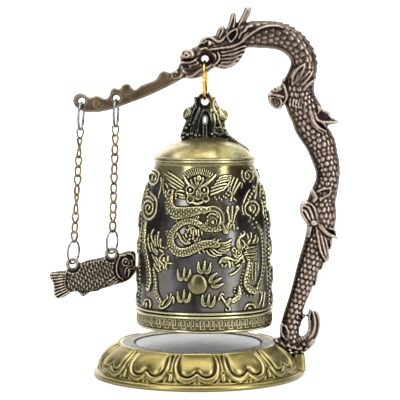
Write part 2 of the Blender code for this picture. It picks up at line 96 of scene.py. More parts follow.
# ------------------------------------------------------------------ relief sheets
class Relief:
    """Half-thickness map over x, z in mm. Positive inside the metal, minus the
    distance to it outside. M is the height of the middle surface along y."""

    def __init__(self, x0, x1, z0, z1, res, wrap=None):
        self.res = res
        self.x0, self.z0 = x0, z0
        self.nx = int(round((x1 - x0) / res)) + 1
        self.nz = int(round((z1 - z0) / res)) + 1
        self.x = x0 + res * np.arange(self.nx)
        self.z = z0 + res * np.arange(self.nz)
        self.X, self.Z = np.meshgrid(self.x, self.z, indexing="ij")
        self.T = np.full((self.nx, self.nz), -60.0)
        self.M = np.zeros((self.nx, self.nz))

    def window(self, lo, hi, pad):
        i0 = max(0, int((lo[0] - pad - self.x0) / self.res))
        i1 = min(self.nx, int((hi[0] + pad - self.x0) / self.res) + 2)
        j0 = max(0, int((lo[1] - pad - self.z0) / self.res))
        j1 = min(self.nz, int((hi[1] + pad - self.z0) / self.res) + 2)
        return slice(i0, max(i1, i0)), slice(j0, max(j1, j0))

    def field(self, P, R, pad=2.0):
        """Nearest-segment field of a tapered path: window, q = side offset / radius,
        s = length along, r = local radius, d = distance."""
        lo, hi = P.min(0) - R.max(), P.max(0) + R.max()
        w = self.window(lo, hi, pad)
        X, Z = self.X[w], self.Z[w]
        best = np.full(X.shape, 1e9)
        S = np.zeros(X.shape)
        D = np.full(X.shape, 1e9)
        Q = np.full(X.shape, 9.0)
        RR = np.ones(X.shape)
        s0 = 0.0
        for i in range(len(P) - 1):
            a, b = P[i], P[i + 1]
            ab = b - a
            L2 = float(ab @ ab)
            if L2 < 1e-12:
                continue
            L = math.sqrt(L2)
            m = max(R[i], R[i + 1]) + pad
            wi = self.window(np.minimum(a, b), np.maximum(a, b), m)
            li = slice(wi[0].start - w[0].start, wi[0].stop - w[0].start)
            lj = slice(wi[1].start - w[1].start, wi[1].stop - w[1].start)
            if li.start < 0 or lj.start < 0:
                li = slice(max(li.start, 0), li.stop)
                lj = slice(max(lj.start, 0), lj.stop)
            x, z = X[li, lj], Z[li, lj]
            if x.size == 0:
                s0 += L
                continue
            u = np.clip(((x - a[0]) * ab[0] + (z - a[1]) * ab[1]) / L2, 0, 1)
            dx, dz = x - (a[0] + u * ab[0]), z - (a[1] + u * ab[1])
            d = np.sqrt(dx * dx + dz * dz)
            r = R[i] + (R[i + 1] - R[i]) * u
            key = d - r
            cur = best[li, lj]
            k = key < cur
            cur[k] = key[k]
            sg = np.sign(ab[0] * dz - ab[1] * dx)
            D[li, lj][k] = d[k]
            Q[li, lj][k] = (sg * d / np.maximum(r, 1e-6))[k]
            RR[li, lj][k] = r[k]
            S[li, lj][k] = (s0 + u * L)[k]
            s0 += L
        return w, D, Q, S, RR, s0

    def stroke(self, pts, radius=None, k=1.0, base=0.0, tex=None, mode="max", mid=0.0, step=0.5,
               curve=True, power=0.5, soft=0.0):
        """Rounded bar along a path. pts rows are x, z[, radius]. The half thickness is
        base + k * radius * (1 - q^2)^power."""
        P = np.asarray(pts, float)
        if P.shape[1] == 2:
            r = np.broadcast_to(np.asarray(radius, float), (len(P),))
            P = np.column_stack([P, r])
        if curve and len(P) > 2:
            P = spline(P, step)
        w, D, Q, S, RR, L = self.field(P[:, :2], np.maximum(P[:, 2], 0.02))
        q2 = np.clip(1 - Q * Q, 0, 1)
        H = base + k * RR * q2 ** power
        if tex is not None:
            H = H + tex(S, Q, RR, L) * smoothstep(0, 0.25, q2)
        out = RR - D
        H = np.where(D < RR, H, out)
        self.merge(w, H, mode, mid, soft)

    def merge(self, w, H, mode, mid=0.0, soft=0.0):
        cur = self.T[w]
        if mode == "max":
            if soft > 0:
                h = np.clip(0.5 + 0.5 * (H - cur) / soft, 0, 1)
                new = cur + (H - cur) * h + soft * h * (1 - h)
                new = np.where((cur > -soft) | (H > -soft), new, np.maximum(cur, H))
                k = H > cur
            else:
                k = H > cur
                new = np.where(k, H, cur)
            self.T[w] = new
            self.M[w] = np.where(k, mid, self.M[w])
        elif mode == "add":
            self.T[w] = np.where(cur > 0, cur + np.maximum(H, 0), cur)
        elif mode == "set":
            self.T[w] = np.where(H > 0, H, cur)
        elif mode == "sub":
            self.T[w] = np.where(cur > 0, np.maximum(cur - np.maximum(H, 0), 0.12), cur)

    def groove(self, pts, radius, depth, curve=True, step=0.5):
        P = np.asarray(pts, float)
        if P.shape[1] == 2:
            r = np.broadcast_to(np.asarray(radius, float), (len(P),))
            P = np.column_stack([P, r])
        if curve and len(P) > 2:
            P = spline(P, step)
        w, D, Q, S, RR, L = self.field(P[:, :2], P[:, 2], pad=0.5)
        g = depth * smoothstep(1.0, 0.2, np.abs(Q))
        cur = self.T[w]
        self.T[w] = np.where(cur > 0, np.maximum(cur - g, 0.15), cur)

    def raise_line(self, pts, radius, height, curve=True, step=0.5):
        P = np.asarray(pts, float)
        if P.shape[1] == 2:
            r = np.broadcast_to(np.asarray(radius, float), (len(P),))
            P = np.column_stack([P, r])
        if curve and len(P) > 2:
            P = spline(P, step)
        w, D, Q, S, RR, L = self.field(P[:, :2], P[:, 2], pad=0.5)
        g = height * np.sqrt(np.clip(1 - Q * Q, 0, 1))
        cur = self.T[w]
        self.T[w] = np.where(cur > 0, cur + g, cur)

    def blob(self, c, rx, rz, h, rot=0.0, base=0.0, mode="max", mid=0.0, power=0.5, soft=0.0):
        m = max(rx, rz)
        w = self.window(np.array(c) - m, np.array(c) + m, 2.0)
        x, z = self.X[w] - c[0], self.Z[w] - c[1]
        ca, sa = math.cos(rot), math.sin(rot)
        u, v = (x * ca + z * sa) / rx, (-x * sa + z * ca) / rz
        d = np.sqrt(u * u + v * v)
        H = np.where(d < 1, base + h * np.clip(1 - d * d, 0, 1) ** power, (1 - d) * min(rx, rz))
        self.merge(w, H, mode, mid, soft)

    def polygon(self, pts, h, edge=1.0, mode="max", curve=False, mid=0.0, dome=0.0):
        """Flat plate with a rounded edge of the given width, drawn by its outline."""
        P = np.asarray(pts, float)
        if curve:
            P = spline(P, 0.5, closed=True)
        w = self.window(P.min(0), P.max(0), 2.5)
        x, z = self.X[w], self.Z[w]
        inside = np.zeros(x.shape, bool)
        d2 = np.full(x.shape, 1e9)
        n = len(P)
        for i in range(n):
            a, b = P[i], P[(i + 1) % n]
            ab = b - a
            L2 = max(float(ab @ ab), 1e-12)
            u = np.clip(((x - a[0]) * ab[0] + (z - a[1]) * ab[1]) / L2, 0, 1)
            d2 = np.minimum(d2, (x - a[0] - u * ab[0]) ** 2 + (z - a[1] - u * ab[1]) ** 2)
            c = (a[1] > z) != (b[1] > z)
            if abs(b[1] - a[1]) > 1e-12:
                xc = a[0] + (z - a[1]) / (b[1] - a[1]) * ab[0]
                inside ^= c & (x < xc)
        d = np.sqrt(d2)
        e = np.clip(1 - d / edge, 0, 1)
        H = h * (0.35 + 0.65 * np.sqrt(np.clip(1 - e * e, 0, 1))) + dome * np.sqrt(np.maximum(d, 0))
        H = np.where(inside, H, -d)
        self.merge(w, H, mode, mid)

    def hole(self, c, r, bevel=0.3):
        w = self.window(np.array(c) - r, np.array(c) + r, 2.0)
        d = np.sqrt((self.X[w] - c[0]) ** 2 + (self.Z[w] - c[1]) ** 2)
        cur = self.T[w]
        H = (d - r)
        k = np.where(H < 0, np.minimum(cur, H), np.where(H < bevel, np.minimum(cur, np.maximum(cur - (bevel - H), 0.2)), cur))
        self.T[w] = k

    def limit(self, c, r, h0, slope):
        """Keep the metal near c thinner than h0 + slope * (d - r)."""
        w = self.window(np.array(c) - 12, np.array(c) + 12, 0.0)
        d = np.sqrt((self.X[w] - c[0]) ** 2 + (self.Z[w] - c[1]) ** 2)
        lim = h0 + slope * np.maximum(d - r, 0)
        self.T[w] = np.where(self.T[w] > 0, np.minimum(self.T[w], lim), self.T[w])


def blur(a, n=1):
    for _ in range(n):
        a = (np.roll(a, 1, 0) + np.roll(a, -1, 0) + 2 * a) / 4
        a = (np.roll(a, 1, 1) + np.roll(a, -1, 1) + 2 * a) / 4
    return a


# ------------------------------------------------------------------ relief textures
def scales(ps=2.0, pt=1.9, amp=0.35, lo=-2.0, hi=2.0, seed=3):
    def f(S, Q, R, L):
        w = np.arcsin(np.clip(Q, -1, 1)) * R
        out = np.zeros_like(S)
        for di in (0, 1):
            row = np.floor(S / ps) + di
            sc = (row + 0.5) * ps
            off = np.where(np.mod(row, 2) > 0.5, 0.5, 0.0)
            for dj in (-1, 0, 1):
                col = np.floor(w / pt + off) + dj
                wc = (col + 0.5 - off) * pt
                j = (vnoise(row * 3.1 + 0.5, col * 2.3 + 0.5, seed) - 0.5) * 0.25 * ps
                u = (S - sc - j) / (ps * 0.74)
                v = (w - wc) / (pt * 0.60)
                d = u * u + v * v
                h = np.where(d < 1, np.sqrt(np.clip(1 - d, 0, 1)) * (0.82 + 0.30 * u), 0.0)
                out = np.maximum(out, h)
        m = ((Q > lo) & (Q < hi))
        return amp * np.where(m, out, 0.0)
    return f


def ribs(pitch=1.5, amp=0.3, lo=-2.0, hi=2.0, slant=0.0):
    def f(S, Q, R, L):
        ph = np.mod((S + slant * Q * R) / pitch, 1.0)
        return np.where((Q > lo) & (Q < hi), amp * np.sin(np.pi * ph) ** 0.6, 0.0)
    return f


def both(*fs):
    def f(S, Q, R, L):
        out = 0
        for h in fs:
            out = out + h(S, Q, R, L)
        return out
    return f



def beads(ps=2.1, pt=2.0, amp=0.5, lo=-2.0, hi=2.0, seed=5, rx=0.56, ry=0.54, flat=0.5):
    """Hexagonal rows of round studs."""
    def f(S, Q, R, L):
        w = np.arcsin(np.clip(Q, -1, 1)) * R
        out = np.zeros_like(S)
        for di in (-1, 0, 1):
            row = np.floor(S / ps) + di
            off = np.where(np.mod(row, 2) > 0.5, 0.5, 0.0)
            for dj in (-1, 0, 1):
                col = np.floor(w / pt + off) + dj
                jx = (vnoise(row * 3.7 + 0.5, col * 2.9 + 0.5, seed) - 0.5) * 0.28 * ps
                jy = (vnoise(row * 2.1 + 0.5, col * 5.3 + 0.5, seed + 9) - 0.5) * 0.24 * pt
                u = (S - (row + 0.5) * ps - jx) / (ps * rx)
                v = (w - (col + 0.5 - off) * pt - jy) / (pt * ry)
                d = u * u + v * v
                out = np.maximum(out, np.where(d < 1, np.clip(1 - d, 0, 1) ** flat, 0.0))
        return amp * np.where((Q > lo) & (Q < hi), out, 0.0)
    return f


def lapped(ps=1.1, pt=3.25, amp=0.5, lo=-2.0, hi=2.0, seed=7, ru=1.15, rv=0.62):
    """Overlapping fish scales, thickest at the free edge."""
    def f(S, Q, R, L):
        w = Q * R
        out = np.zeros_like(S)
        for di in (-1, 0, 1):
            row = np.floor(S / ps) + di
            off = np.where(np.mod(row, 2) > 0.5, 0.5, 0.0)
            for dj in (-1, 0, 1):
                col = np.floor(w / pt + off) + dj
                u = (S - (row + 0.5) * ps) / (ps * ru)
                v = (w - (col + 0.5 - off) * pt) / (pt * rv)
                d = u * u + v * v
                out = np.maximum(out, np.where(d < 1, (0.42 + 0.58 * u) * smoothstep(1.0, 0.72, d), 0.0))
        return amp * np.where((Q > lo) & (Q < hi), np.maximum(out, 0), 0.0)
    return f


def fade(f, a, b):
    """Texture f only between two lengths along the path."""
    def h(S, Q, R, L):
        return f(S, Q, R, L) * smoothstep(a - 0.6, a + 0.6, S) * (1 - smoothstep(b - 0.6, b + 0.6, S))
    return h


def line_at(q0, width, depth):
    """Furrow that follows the path at a fixed side position."""
    def f(S, Q, R, L):
        return -depth * smoothstep(width, width * 0.3, np.abs(Q - q0) * R)
    return f


# ------------------------------------------------------------------ relief to mesh
def solid_from(rel, res, soften=1, name="part", ymax=None, extra=None):
    """Closed mesh of |y - M| < T by meshing its level set."""
    import openvdb
    T = rel.T
    if ymax is None:
        ymax = float(np.max(np.abs(rel.M) + np.maximum(T, 0))) + 3 * res
    ny = int(math.ceil(2 * ymax / res)) + 1
    y = -ymax + res * np.arange(ny)
    F = (np.abs(y[None, :, None] - rel.M[:, None, :]) - T[:, None, :]).astype(np.float32)
    np.clip(F, -1.2, 1.2, out=F)
    if extra is not None:
        F = extra(F, rel, y)
    F[0], F[-1] = 1.2, 1.2
    F[:, 0], F[:, -1] = 1.2, 1.2
    F[:, :, 0], F[:, :, -1] = 1.2, 1.2
    for _ in range(soften):
        for ax in (0, 1, 2):
            F = (np.roll(F, 1, ax) + np.roll(F, -1, ax) + 2 * F) * np.float32(0.25)
    g = openvdb.FloatGrid(1.2)
    g.copyFromArray(F, tolerance=1e-4)
    pts, quads = g.convertToQuads(0.0)
    pts = np.asarray(pts, float)
    V = np.empty_like(pts)
    V[:, 0] = (rel.x0 + pts[:, 0] * rel.res) * MM
    V[:, 1] = (-ymax + pts[:, 1] * res) * MM
    V[:, 2] = (rel.z0 + pts[:, 2] * rel.res) * MM
    quads = np.asarray(quads)
    return V, quads


def mesh_obj(name, V, faces, smooth=True):
    me = bpy.data.meshes.new(name)
    V = np.asarray(V, np.float32)
    if isinstance(faces, np.ndarray):
        F = faces
        n, k = F.shape
        me.vertices.add(len(V))
        me.vertices.foreach_set("co", V.ravel())
        me.loops.add(n * k)
        me.loops.foreach_set("vertex_index", F.ravel().astype(np.int32))
        me.polygons.add(n)
        me.polygons.foreach_set("loop_start", np.arange(0, n * k, k, dtype=np.int32))
        me.polygons.foreach_set("loop_total", np.full(n, k, dtype=np.int32))
        me.update(calc_edges=True)
        me.validate()
    else:
        me.from_pydata([tuple(v) for v in V], [], [tuple(f) for f in faces])
        me.validate()
    bm = bmesh.new()
    bm.from_mesh(me)
    loose = [v for v in bm.verts if not v.link_faces]
    if loose:
        bmesh.ops.delete(bm, geom=loose, context="VERTS")
    bmesh.ops.recalc_face_normals(bm, faces=bm.faces)
    if bm.calc_volume(signed=True) < 0:
        bmesh.ops.reverse_faces(bm, faces=bm.faces)
    bm.to_mesh(me)
    bm.free()
    if smooth:
        me.shade_smooth()
    ob = bpy.data.objects.new(name, me)
    bpy.context.scene.collection.objects.link(ob)
    return ob


def keep_big(ob, least=60):
    """Remove specks that the level set leaves behind."""
    bm = bmesh.new()
    bm.from_mesh(ob.data)
    seen, kill = set(), []
    for v in bm.verts:
        if v in seen:
            continue
        stack, comp = [v], []
        seen.add(v)
        while stack:
            a = stack.pop()
            comp.append(a)
            for e in a.link_edges:
                b = e.other_vert(a)
                if b not in seen:
                    seen.add(b)
                    stack.append(b)
        if len(comp) < least:
            kill += comp
    if kill:
        bmesh.ops.delete(bm, geom=kill, context="VERTS")
        bm.to_mesh(ob.data)
    bm.free()


def edges_of(me):
    e = np.empty(len(me.edges) * 2, np.int32)
    me.edges.foreach_get("vertices", e)
    return e.reshape(-1, 2)


def coords(me):
    v = np.empty(len(me.vertices) * 3, np.float32)
    me.vertices.foreach_get("co", v)
    return v.reshape(-1, 3).astype(float)


def laplace(V, E, n, lam=0.5):
    N = len(V)
    deg = np.bincount(E.ravel(), minlength=N).astype(float)[:, None]
    for _ in range(n):
        acc = np.zeros_like(V)
        for c in range(V.shape[1]):
            acc[:, c] = np.bincount(E[:, 0], V[E[:, 1], c], N) + np.bincount(E[:, 1], V[E[:, 0], c], N)
        V = V + lam * (acc / np.maximum(deg, 1) - V)
    return V


def relax(ob, n, lam=0.5):
    me = ob.data
    V = laplace(coords(me), edges_of(me), n, lam)
    me.vertices.foreach_set("co", V.astype(np.float32).ravel())
    me.update()


def cavity(ob, scales=((6, 0.6), (24, 0.4)), gain=1.0):
    """Vertex value in 0..1: 0.5 on flats, higher on ridges, lower in recesses."""
    me = ob.data
    V = coords(me)
    E = edges_of(me)
    Nn = np.empty(len(V) * 3, np.float32)
    me.vertices.foreach_get("normal", Nn)
    Nn = Nn.reshape(-1, 3)
    out = np.zeros(len(V))
    L, done = V.copy(), 0
    for n, wgt in scales:
        L = laplace(L, E, n - done, 0.5)
        done = n
        d = ((V - L) * Nn).sum(1)
        s = np.percentile(np.abs(d), 88) + 1e-9
        out += wgt * np.clip(d / s, -1.6, 1.6)
    out = laplace(out[:, None], E, 1, 0.4)[:, 0]
    val = np.clip(0.5 + 0.5 * gain * out, 0, 1).astype(np.float32)
    at = me.attributes.get("cavity") or me.attributes.new("cavity", "FLOAT", "POINT")
    at.data.foreach_set("value", val)
    return val


def put_attr(ob, name, vals):
    at = ob.data.attributes.get(name) or ob.data.attributes.new(name, "FLOAT", "POINT")
    at.data.foreach_set("value", np.asarray(vals, np.float32))


def grid_faces(nu, nv, wrap_u=False, wrap_v=False):
    U = nu if wrap_u else nu - 1
    W = nv if wrap_v else nv - 1
    i, j = np.meshgrid(np.arange(U), np.arange(W), indexing="ij")
    a = i * nv + j
    b = ((i + 1) % nu) * nv + j
    c = ((i + 1) % nu) * nv + (j + 1) % nv
    d = i * nv + (j + 1) % nv
    return np.stack([a, b, c, d], -1).reshape(-1, 4)


def tube_mesh(path, radius, sides=12, closed=True, flat=None):
    """Round wire along 3-D points (mm) with a twist-free frame."""
    P = np.asarray(path, float)
    n = len(P)
    R = np.broadcast_to(np.asarray(radius, float), (n,))
    T = (np.roll(P, -1, 0) - np.roll(P, 1, 0)) if closed else np.gradient(P, axis=0)
    T /= np.linalg.norm(T, axis=1)[:, None] + 1e-12
    up = np.array([0.0, 1.0, 0.0]) if abs(T[0][1]) < 0.9 else np.array([1.0, 0, 0])
    N = np.zeros_like(P)
    v = up - T[0] * (up @ T[0])
    N[0] = v / np.linalg.norm(v)
    for i in range(1, n):
        v = N[i - 1] - T[i] * (N[i - 1] @ T[i])
        N[i] = v / np.linalg.norm(v)
    if closed:
        v = N[-1] - T[0] * (N[-1] @ T[0])
        v /= np.linalg.norm(v)
        B0 = np.cross(T[0], N[0])
        ang = math.atan2(v @ B0, v @ N[0])
        for i in range(n):
            a = -ang * i / n
            B = np.cross(T[i], N[i])
            N[i] = N[i] * math.cos(a) + B * math.sin(a)
    B = np.cross(T, N)
    a = np.linspace(0, 2 * math.pi, sides, endpoint=False)
    ring = np.cos(a)[None, :, None] * N[:, None, :] + np.sin(a)[None, :, None] * B[:, None, :]
    V = (P[:, None, :] + R[:, None, None] * ring).reshape(-1, 3)
    F = grid_faces(n, sides, closed, True)
    if not closed:
        V = np.vstack([V, P[0], P[-1]])
        c0, c1 = len(V) - 2, len(V) - 1
        F = [tuple(f) for f in F]
        for k in range(sides):
            k2 = (k + 1) % sides
            F.append((c0, k2, k))
            F.append((c1, (n - 1) * sides + k, (n - 1) * sides + k2))
    return V * MM, F


def join(obs, name):
    """One object from several closed shells."""
    V, F, off = [], [], 0
    for o in obs:
        v = coords(o.data)
        for p in o.data.polygons:
            F.append(tuple(i + off for i in p.vertices))
        V.append(v)
        off += len(v)
        bpy.data.objects.remove(o, do_unlink=True)
    me = bpy.data.meshes.new(name)
    me.from_pydata([tuple(v) for v in np.vstack(V)], [], F)
    me.shade_smooth()
    ob = bpy.data.objects.new(name, me)
    bpy.context.scene.collection.objects.link(ob)
    return ob


# ------------------------------------------------------------------ materials
def nodes_of(name):
    m = bpy.data.materials.new(name)
    m.use_nodes = True
    nt = m.node_tree
    return m, nt, nt.nodes["Principled BSDF"]


def ramp(nt, src, stops, interp="LINEAR"):
    r = nt.nodes.new("ShaderNodeValToRGB")
    r.color_ramp.interpolation = interp
    el = r.color_ramp.elements
    while len(el) > 1:
        el.remove(el[-1])
    el[0].position = stops[0][0]
    el[0].color = (*stops[0][1], 1) if len(stops[0][1]) == 3 else stops[0][1]
    for p, c in stops[1:]:
        e = el.new(p)
        e.color = (*c, 1)
    nt.links.new(src, r.inputs[0])
    return r.outputs[0]


def g(v):
    return (v, v, v)


def noise(nt, scale, detail=4.0, rough=0.55, coord=None, dist=0.0):
    n = nt.nodes.new("ShaderNodeTexNoise")
    n.inputs["Scale"].default_value = scale
    n.inputs["Detail"].default_value = detail
    n.inputs["Roughness"].default_value = rough
    n.inputs["Distortion"].default_value = dist
    if coord is not None:
        nt.links.new(coord, n.inputs["Vector"])
    return n.outputs["Fac"]


def math_node(nt, op, a, b=None, clamp=False):
    n = nt.nodes.new("ShaderNodeMath")
    n.operation = op
    n.use_clamp = clamp
    for i, v in enumerate((a, b)):
        if v is None:
            continue
        if isinstance(v, (int, float)):
            n.inputs[i].default_value = v
        else:
            nt.links.new(v, n.inputs[i])
    return n.outputs[0]


def mix(nt, fac, a, b, mode="MIX"):
    n = nt.nodes.new("ShaderNodeMix")
    n.data_type = "RGBA"
    n.blend_type = mode
    for sock, v in ((n.inputs[0], fac), (n.inputs[6], a), (n.inputs[7], b)):
        if isinstance(v, (int, float)):
            sock.default_value = v
        elif isinstance(v, tuple):
            sock.default_value = (*v, 1)
        else:
            nt.links.new(v, sock)
    return n.outputs[2]


def bump(nt, height, strength, dist, normal=None):
    b = nt.nodes.new("ShaderNodeBump")
    b.inputs["Strength"].default_value = strength
    b.inputs["Distance"].default_value = dist
    nt.links.new(height, b.inputs["Height"])
    if normal is not None:
        nt.links.new(normal, b.inputs["Normal"])
    return b.outputs["Normal"]


def antique(name, dark, mid, light, rough=(0.5, 0.3), thresholds=(0.30, 0.52, 0.78), wobble=0.22,
            grain=2600.0, bumpd=0.00005, mottle=0.35, tint=None, metal=1.0, dark_metal=0.85):
    """Cast metal with dark patina in its recesses and rubbed ridges, driven by the
    cavity value of the mesh and by noise at two scales."""
    m, nt, b = nodes_of(name)
    tc = nt.nodes.new("ShaderNodeTexCoord").outputs["Object"]
    at = nt.nodes.new("ShaderNodeAttribute")
    at.attribute_name = "cavity"
    cav = at.outputs["Fac"]
    n1 = noise(nt, 260.0, 5.0, 0.6, tc)
    n2 = noise(nt, 1100.0, 4.0, 0.6, tc)
    w = math_node(nt, "ADD", math_node(nt, "MULTIPLY", math_node(nt, "SUBTRACT", n1, 0.5), wobble),
                  math_node(nt, "MULTIPLY", math_node(nt, "SUBTRACT", n2, 0.5), wobble * 0.8))
    c = math_node(nt, "ADD", cav, w, clamp=True)
    col = ramp(nt, c, [(max(thresholds[0] - 0.12, 0), dark), (thresholds[0] + 0.06, tuple(0.6 * x + 0.4 * y for x, y in zip(dark, mid))),
                       (thresholds[1], mid), (thresholds[2], light)])
    n3 = noise(nt, 90.0, 3.0, 0.5, tc)
    shade = ramp(nt, n3, [(0.3, g(1.0 - mottle)), (0.5, g(1.0)), (0.72, g(1.0 + 0.0))])
    col = mix(nt, 1.0, col, shade, "MULTIPLY")
    if tint is not None:
        n4 = noise(nt, 45.0, 2.0, 0.5, tc)
        f = ramp(nt, n4, [(0.42, g(0.0)), (0.62, g(1.0))])
        col = mix(nt, math_node(nt, "MULTIPLY", f, 0.5), col, mix(nt, 1.0, col, tint, "MULTIPLY"))
    nt.links.new(col, b.inputs["Base Color"])
    ro = ramp(nt, c, [(0.2, g(rough[0])), (0.75, g(rough[1]))])
    n5 = noise(nt, 700.0, 5.0, 0.65, tc)
    ro = math_node(nt, "ADD", ro, math_node(nt, "MULTIPLY", math_node(nt, "SUBTRACT", n5, 0.5), 0.22), clamp=True)
    nt.links.new(ro, b.inputs["Roughness"])
    me = ramp(nt, c, [(0.15, g(dark_metal)), (0.5, g(metal))])
    nt.links.new(me, b.inputs["Metallic"])
    n6 = noise(nt, grain, 4.0, 0.6, tc)
    nrm = bump(nt, n6, 0.35, bumpd)
    nt.links.new(nrm, b.inputs["Normal"])
    return m


def wire_metal(name, col, col2, rough=0.18, scratch=1800.0):
    m, nt, b = nodes_of(name)
    tc = nt.nodes.new("ShaderNodeTexCoord").outputs["Object"]
    n1 = noise(nt, 420.0, 4.0, 0.6, tc)
    c = mix(nt, ramp(nt, n1, [(0.40, g(0.0)), (0.66, g(1.0))]), col, col2)
    nt.links.new(c, b.inputs["Base Color"])
    b.inputs["Metallic"].default_value = 1.0
    n2 = noise(nt, scratch, 5.0, 0.6, tc)
    ro = math_node(nt, "ADD", math_node(nt, "MULTIPLY", n2, 0.25), rough - 0.1, clamp=True)
    nt.links.new(ro, b.inputs["Roughness"])
    nt.links.new(bump(nt, n2, 0.12, 0.000012), b.inputs["Normal"])
    return m


def paint(ob, mat):
    ob.data.materials.clear()
    ob.data.materials.append(mat)


# ------------------------------------------------------------------ drawing to space
CAM_POS = np.array([0.8, -720.0, 127.0])      # mm
CAM_AIM = np.array([0.8, 0.0, 71.0])
FOCAL = 400.0 * 160.0 / 36.0
_F = (CAM_AIM - CAM_POS) / np.linalg.norm(CAM_AIM - CAM_POS)
_R = np.array([1.0, 0.0, 0.0])
_U = np.cross(_R, _F)


def sight(p):
    p = np.asarray(p, float)
    return _F + _R * ((p[..., 0:1] - 200.0) / FOCAL) + _U * ((200.0 - p[..., 1:2]) / FOCAL)




BELL_X = 2.6
BELL_R0 = 27.0      # radius at which the relief sheet is unrolled
BELL_OUT = np.array([(27.2, 20.6), (27.55, 21.6), (27.6, 22.8), (27.55, 26.0), (27.4, 30.0), (27.15, 45.5),
                     (26.8, 54.7), (26.15, 64.0), (24.75, 71.8), (22.5, 79.4), (20.35, 85.6)])


def bell_radius(z):
    return np.interp(z, BELL_OUT[:, 1], BELL_OUT[:, 0])


def on_bell(p):
    """Sheet point to the unrolled wall: arc length from the front, height."""
    p = np.asarray(p, float)
    d = sight(p)
    q = p.copy()
    r = np.full(p.shape[:-1], 26.5)
    for _ in range(12):
        ox, oy = CAM_POS[0] - BELL_X, CAM_POS[1]
        a = d[..., 0] ** 2 + d[..., 1] ** 2
        b = 2 * (ox * d[..., 0] + oy * d[..., 1])
        c = ox * ox + oy * oy - r * r
        disc = np.maximum(b * b - 4 * a * c, 0.0)
        t = (-b - np.sqrt(disc)) / (2 * a)
        z = CAM_POS[2] + d[..., 2] * t
        r = 0.5 * r + 0.5 * bell_radius(z)
    x = ox + d[..., 0] * t
    y = oy + d[..., 1] * t
    q[..., 0] = np.arctan2(x, -y) * BELL_R0
    q[..., 1] = z
    if p.shape[-1] > 2:
        q[..., 2:] = p[..., 2:] / SHEET * (BELL_R0 / 27.0)
    return q


# ------------------------------------------------------------------ bell
HALF = math.pi * BELL_R0 / 2.0
bs = Relief(-HALF - 5.0, HALF + 5.0, 19.5, 92.0, 0.24)
bs.T[:] = -9.0


def B(pts, r=None, k=0.32, base=0.42, tex=None, **kw):
    bs.stroke(on_bell(pts), None if r is None else r / SHEET, k=k, base=base, tex=tex, **kw)


def spiral(c, r, turns=1.6, w=1.7, a0=0.0, hand=1, base=0.45):
    n = 40
    t = np.linspace(0, 1, n)
    rad = r * (1.0 - 0.92 * t)
    a = a0 + hand * 2 * math.pi * turns * t
    cc = on_bell(np.array([c], float))[0]
    P = np.column_stack([cc[0] + rad / SHEET * np.cos(a), cc[1] + rad / SHEET * np.sin(a),
                         np.full(n, w / SHEET) * (1 - 0.25 * t)])
    bs.stroke(P, k=0.4, base=base, curve=False)
    bs.blob(cc, 1.5 / SHEET, 1.5 / SHEET, 0.4, base=base)


def claw(palm, tips, r=2.2, thick=2.8):
    """Dragon foot: fingers from the palm, each bent at a knuckle and ending in a nail."""
    px, py = palm
    bs.blob(on_bell(np.array([palm], float))[0], thick / SHEET, thick / SHEET, 0.75, base=0.45)
    for tx, ty in tips:
        dx, dy = tx - px, ty - py
        L = math.hypot(dx, dy)
        nx, ny = -dy / L, dx / L
        mx, my = px + dx * 0.55 + nx * 0.9, py + dy * 0.55 + ny * 0.9
        B([(px, py, r * 0.75), (mx, my, r * 0.62), (tx, ty, r * 0.30)], k=0.6, base=0.42)
        bs.blob(on_bell(np.array([(mx, my)], float))[0], r * 0.72 / SHEET, r * 0.72 / SHEET, 0.55, base=0.5)


def flame(x, y, s=6.0, rot=0.0):
    """Three-tongued flame."""
    ca, sa = math.cos(rot), math.sin(rot)

    def R(pts):
        return [(x + (u * ca - v * sa) * s, y + (u * sa + v * ca) * s, w * s / 6.0) for u, v, w in pts]
    for m in (-1.0, 1.0):
        B(R([(m * 0.98, -0.88, 0.6), (m * 0.95, -0.15, 1.5), (m * 0.72, 0.52, 2.0), (m * 0.40, 0.74, 1.9), (m * 0.08, 0.45, 1.5)]), k=0.5, base=0.5)
    B(R([(0.05, -1.15, 0.55), (0.04, -0.40, 1.35), (0.0, 0.45, 1.6)]), k=0.5, base=0.5)


FINE = scales(1.02, 1.75, 0.80)
TIGHT = scales(1.02, 1.35, 0.75)
BIG = scales(1.25, 1.45, 0.75)


def D(rows, k=0.50, base=0.55, **kw):
    """Fine drawn strands."""
    for pts in rows:
        B(pts, k=k, base=base, **kw)


def dots(pts, r=1.2, h=0.45, base=0.50):
    for p in pts:
        c = on_bell(np.array([p[:2]], float))[0]
        q = p[2] if len(p) > 2 else r
        bs.blob(c, q / SHEET, q / SHEET, h, base=base)


def oval(c, rx, ry, w, base=0.75, k=0.5, n=22, a0=0.0, a1=2 * math.pi):
    B([(c[0] + rx * math.cos(t), c[1] + ry * math.sin(t), w) for t in np.linspace(a0, a1, n)], k=k, base=base)


def lump(c, rx, ry, h, base, rot=0.0):
    bs.blob(on_bell(np.array([c], float))[0], rx / SHEET, ry / SHEET, h, base=base, rot=rot)


